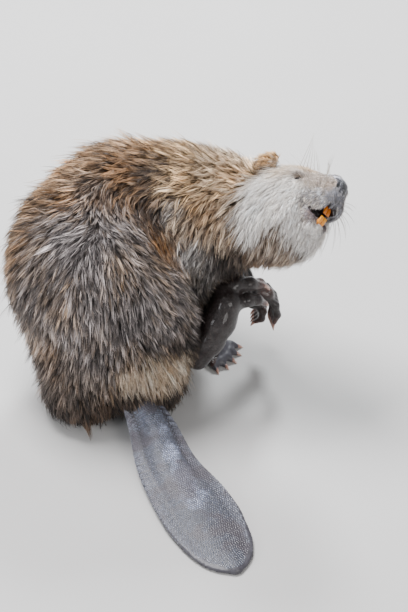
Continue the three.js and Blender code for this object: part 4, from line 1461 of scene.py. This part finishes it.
# Each tooth's middle line, forward and up in the head's frame, from its root to its edge.
UPPER_TOOTH = [(-28, -20), (-22, -24), (-17.5, -29), (-15.8, -35), (-17.5, -41.5)]
LOWER_TOOTH = [(-33, -65), (-29, -61.5), (-25, -57), (-20.5, -51.5), (-18.5, -45.5)]
TOOTH_WIDTH = 6.9
TOOTH_THICK = 6.0
ENAMEL_UPPER = (np.array([0.36, 0.075, 0.002]), np.array([0.50, 0.14, 0.005]))
ENAMEL_LOWER = (np.array([0.62, 0.17, 0.001]), np.array([0.78, 0.31, 0.004]))


def squared(value, power):
    """A cosine or sine bent so that what it turns round is more nearly square."""
    return math.copysign(abs(value) ** power, value)


def tooth(line, side, root_colour, edge_colour):
    """One chisel-edged incisor: a rounded bar along a curve in the head's plane of symmetry."""
    line = smooth_line(line, 4)
    points = []
    sides = 12
    for i, (x, z) in enumerate(line):
        ahead = line[min(i + 1, len(line) - 1)] - line[max(i - 1, 0)]
        way = ahead / np.linalg.norm(ahead)
        front = np.array([-way[1], way[0]])
        if front[0] < 0:
            front = -front
        share = i / (len(line) - 1)
        thick = TOOTH_THICK / 2 * (1 - 0.75 * max(0, share - 0.6) / 0.4)
        for k in range(sides):
            turn = 2 * math.pi * k / sides
            across = squared(math.cos(turn), 0.6) * (TOOTH_WIDTH / 2 - 0.3)
            out = squared(math.sin(turn), 0.7) * thick
            lean = front * (out + (TOOTH_THICK / 2 - thick) * 0.9)
            points.append((x + lean[0], side * TOOTH_WIDTH / 2 + across, z + lean[1]))
    faces = bands(len(line), sides)
    for ring, order in ((0, -1), (len(line) - 1, 1)):
        middle = np.mean(points[ring * sides:(ring + 1) * sides], axis=0)
        points.append(tuple(middle))
        for k in range(sides):
            corner = (ring * sides + k, ring * sides + (k + 1) % sides, len(points) - 1)
            faces.append(corner[::order])
    share = np.repeat(np.linspace(0, 1, len(line)), sides)
    share = np.concatenate([share, [0, 1]])[:, None] ** 1.5
    points = np.array([from_head(point) for point in points])
    return points, np.array(faces), root_colour * (1 - share) + edge_colour * share


def make_teeth():
    look = enamel_material()
    pairs = (("incisors_upper", UPPER_TOOTH, ENAMEL_UPPER),
             ("incisors_lower", LOWER_TOOTH, ENAMEL_LOWER))
    for name, line, colours in pairs:
        parts = [tooth(line, side, *colours) for side in (-1, 1)]
        piece, colours = joined(name + "_enamel", parts, look)
        add_attribute(piece, "tooth_colour", colours)
        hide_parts(name)


def make_eyes():
    look = eye_material()
    for name, side in (("eye_right", -1), ("eye_left", 1)):
        mesh = bpy.data.meshes.new(name + "_ball")
        shape = bmesh.new()
        place = to_world(from_head(EYE_BALL * (1, side, 1)))
        bmesh.ops.create_icosphere(shape, subdivisions=4, radius=EYE_RADIUS / 1000,
                                   matrix=Matrix.Translation(Vector(place)))
        for face in shape.faces:
            face.smooth = True
        shape.to_mesh(mesh)
        shape.free()
        mesh.materials.append(look)
        piece = bpy.data.objects.new(name + "_ball", mesh)
        bpy.context.collection.objects.link(piece)
        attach(piece, "root")
        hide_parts(name)


WHISKER_ROWS = 5
WHISKERS_IN_ROW = 4
BROW_WHISKERS = 6
WHISKER_RADIUS = 0.42


def whisker(root, way, length, bend):
    """One whisker from its root, in a slight curve."""
    way = unit(way)
    bend = np.array(bend) * length
    path = []
    for t in np.linspace(-0.06, 1, 9):
        path.append(from_head(np.array(root) + way * length * t + bend * t * t))
    radii = [WHISKER_RADIUS * (1 - 0.85 * i / 8) for i in range(8)]
    points, faces = tube(path, radii, 5)
    return points, faces, np.ones((len(points), 3))


def pad_whisker(side, row, place):
    """A whisker of the muzzle; those of the upper side of the tilted head are held up and back."""
    back, low = place / (WHISKERS_IN_ROW - 1), row / (WHISKER_ROWS - 1)
    root = (-12 - 20 * back, side * (22 + 6 * back), -8 - 22 * low)
    length = 38 + 22 * back + chance.uniform(-5, 5) - 12 * min(side, 0)
    fan = chance.uniform(-0.14, 0.14)
    if side < 0:
        way, bend = (0.25 - 0.8 * back, -0.30, 0.9 - 0.5 * low + fan), (-0.3, 0.2, 0.0)
    else:
        way, bend = (0.40 - 0.8 * back, 1.0, 0.5 - 1.1 * low + fan), (-0.35, 0, -0.1)
    return whisker(root, way, length, bend)


def brow_whisker(side, number):
    fan = number - (BROW_WHISKERS - 1) / 2
    root = (-38 - 5 * number, side * (16 + 2 * number), 26)
    return whisker(root, (0.12 * fan, side * 0.1, 1.0), 50 + 5 * fan, (-0.12, -0.1 * side, 0))


def make_whiskers():
    parts = [pad_whisker(side, row, place) for side in (-1, 1) for row in range(WHISKER_ROWS)
             for place in range(WHISKERS_IN_ROW)]
    parts += [brow_whisker(side, number) for side in (-1, 1) for number in range(BROW_WHISKERS)]
    joined("whiskers", parts, whisker_material())


# ---------- camera, light and floor ----------
CAMERA_TARGET = (148.6, 0.0, 121.0)
CAMERA_RISE = math.radians(43)
CAMERA_AWAY = 4500.0
CAMERA_LENS = 3150.0 / 612 * 36


def make_camera():
    camera = bpy.data.objects.new("camera", bpy.data.cameras.new("camera"))
    camera.data.sensor_fit = "VERTICAL"
    camera.data.sensor_height = 36
    camera.data.lens = CAMERA_LENS
    way = np.array([0, -math.cos(CAMERA_RISE), math.sin(CAMERA_RISE)])
    camera.location = to_world(np.array(CAMERA_TARGET) + way * CAMERA_AWAY)
    camera.rotation_euler = (math.pi / 2 - CAMERA_RISE, 0, 0)
    camera.data.clip_end = 50
    bpy.context.collection.objects.link(camera)
    bpy.context.scene.camera = camera


def area_light(name, place, size, power, colour):
    """A square window of light that faces the animal."""
    light = bpy.data.objects.new(name, bpy.data.lights.new(name, "AREA"))
    light.data.size = size
    light.data.energy = power
    light.data.color = colour
    light.location = place
    light.rotation_euler = (-Vector(place)).to_track_quat("-Z", "Y").to_euler()
    bpy.context.collection.objects.link(light)


def make_light():
    """Four soft windows round the animal, in metres and watts, and a pale world."""
    area_light("sky_window", (-0.7, 0.7, 2.6), 1.1, 165, (0.98, 0.98, 1.0))
    area_light("back_window", (0.22, 2.15, 1.95), 0.5, 110, (0.93, 0.97, 1.0))
    area_light("front_window", (1.6, -2.2, 1.6), 1.5, 48, (1.0, 0.98, 0.95))
    area_light("side_window", (-2.3, -1.5, 1.1), 1.4, 45, (0.95, 0.97, 1.0))
    world = bpy.data.worlds.new("studio")
    bpy.context.scene.world = world
    world.use_nodes = True
    background = world.node_tree.nodes["Background"].inputs
    background["Color"].default_value = (0.92, 0.95, 1.0, 1)
    background["Strength"].default_value = 0.45


def make_floor():
    bpy.ops.mesh.primitive_plane_add(size=12, location=(0, 0, 0))
    floor = bpy.context.object
    floor.name = "floor"
    floor.data.materials.append(floor_material())


make_camera()
make_light()
make_floor()
skin, skin_points, skin_quads, skin_kind = make_skin()
make_coat(skin_points, skin_quads, skin_kind, unwrap(skin))
make_scales()
make_claws()
make_teeth()
make_eyes()
make_whiskers()
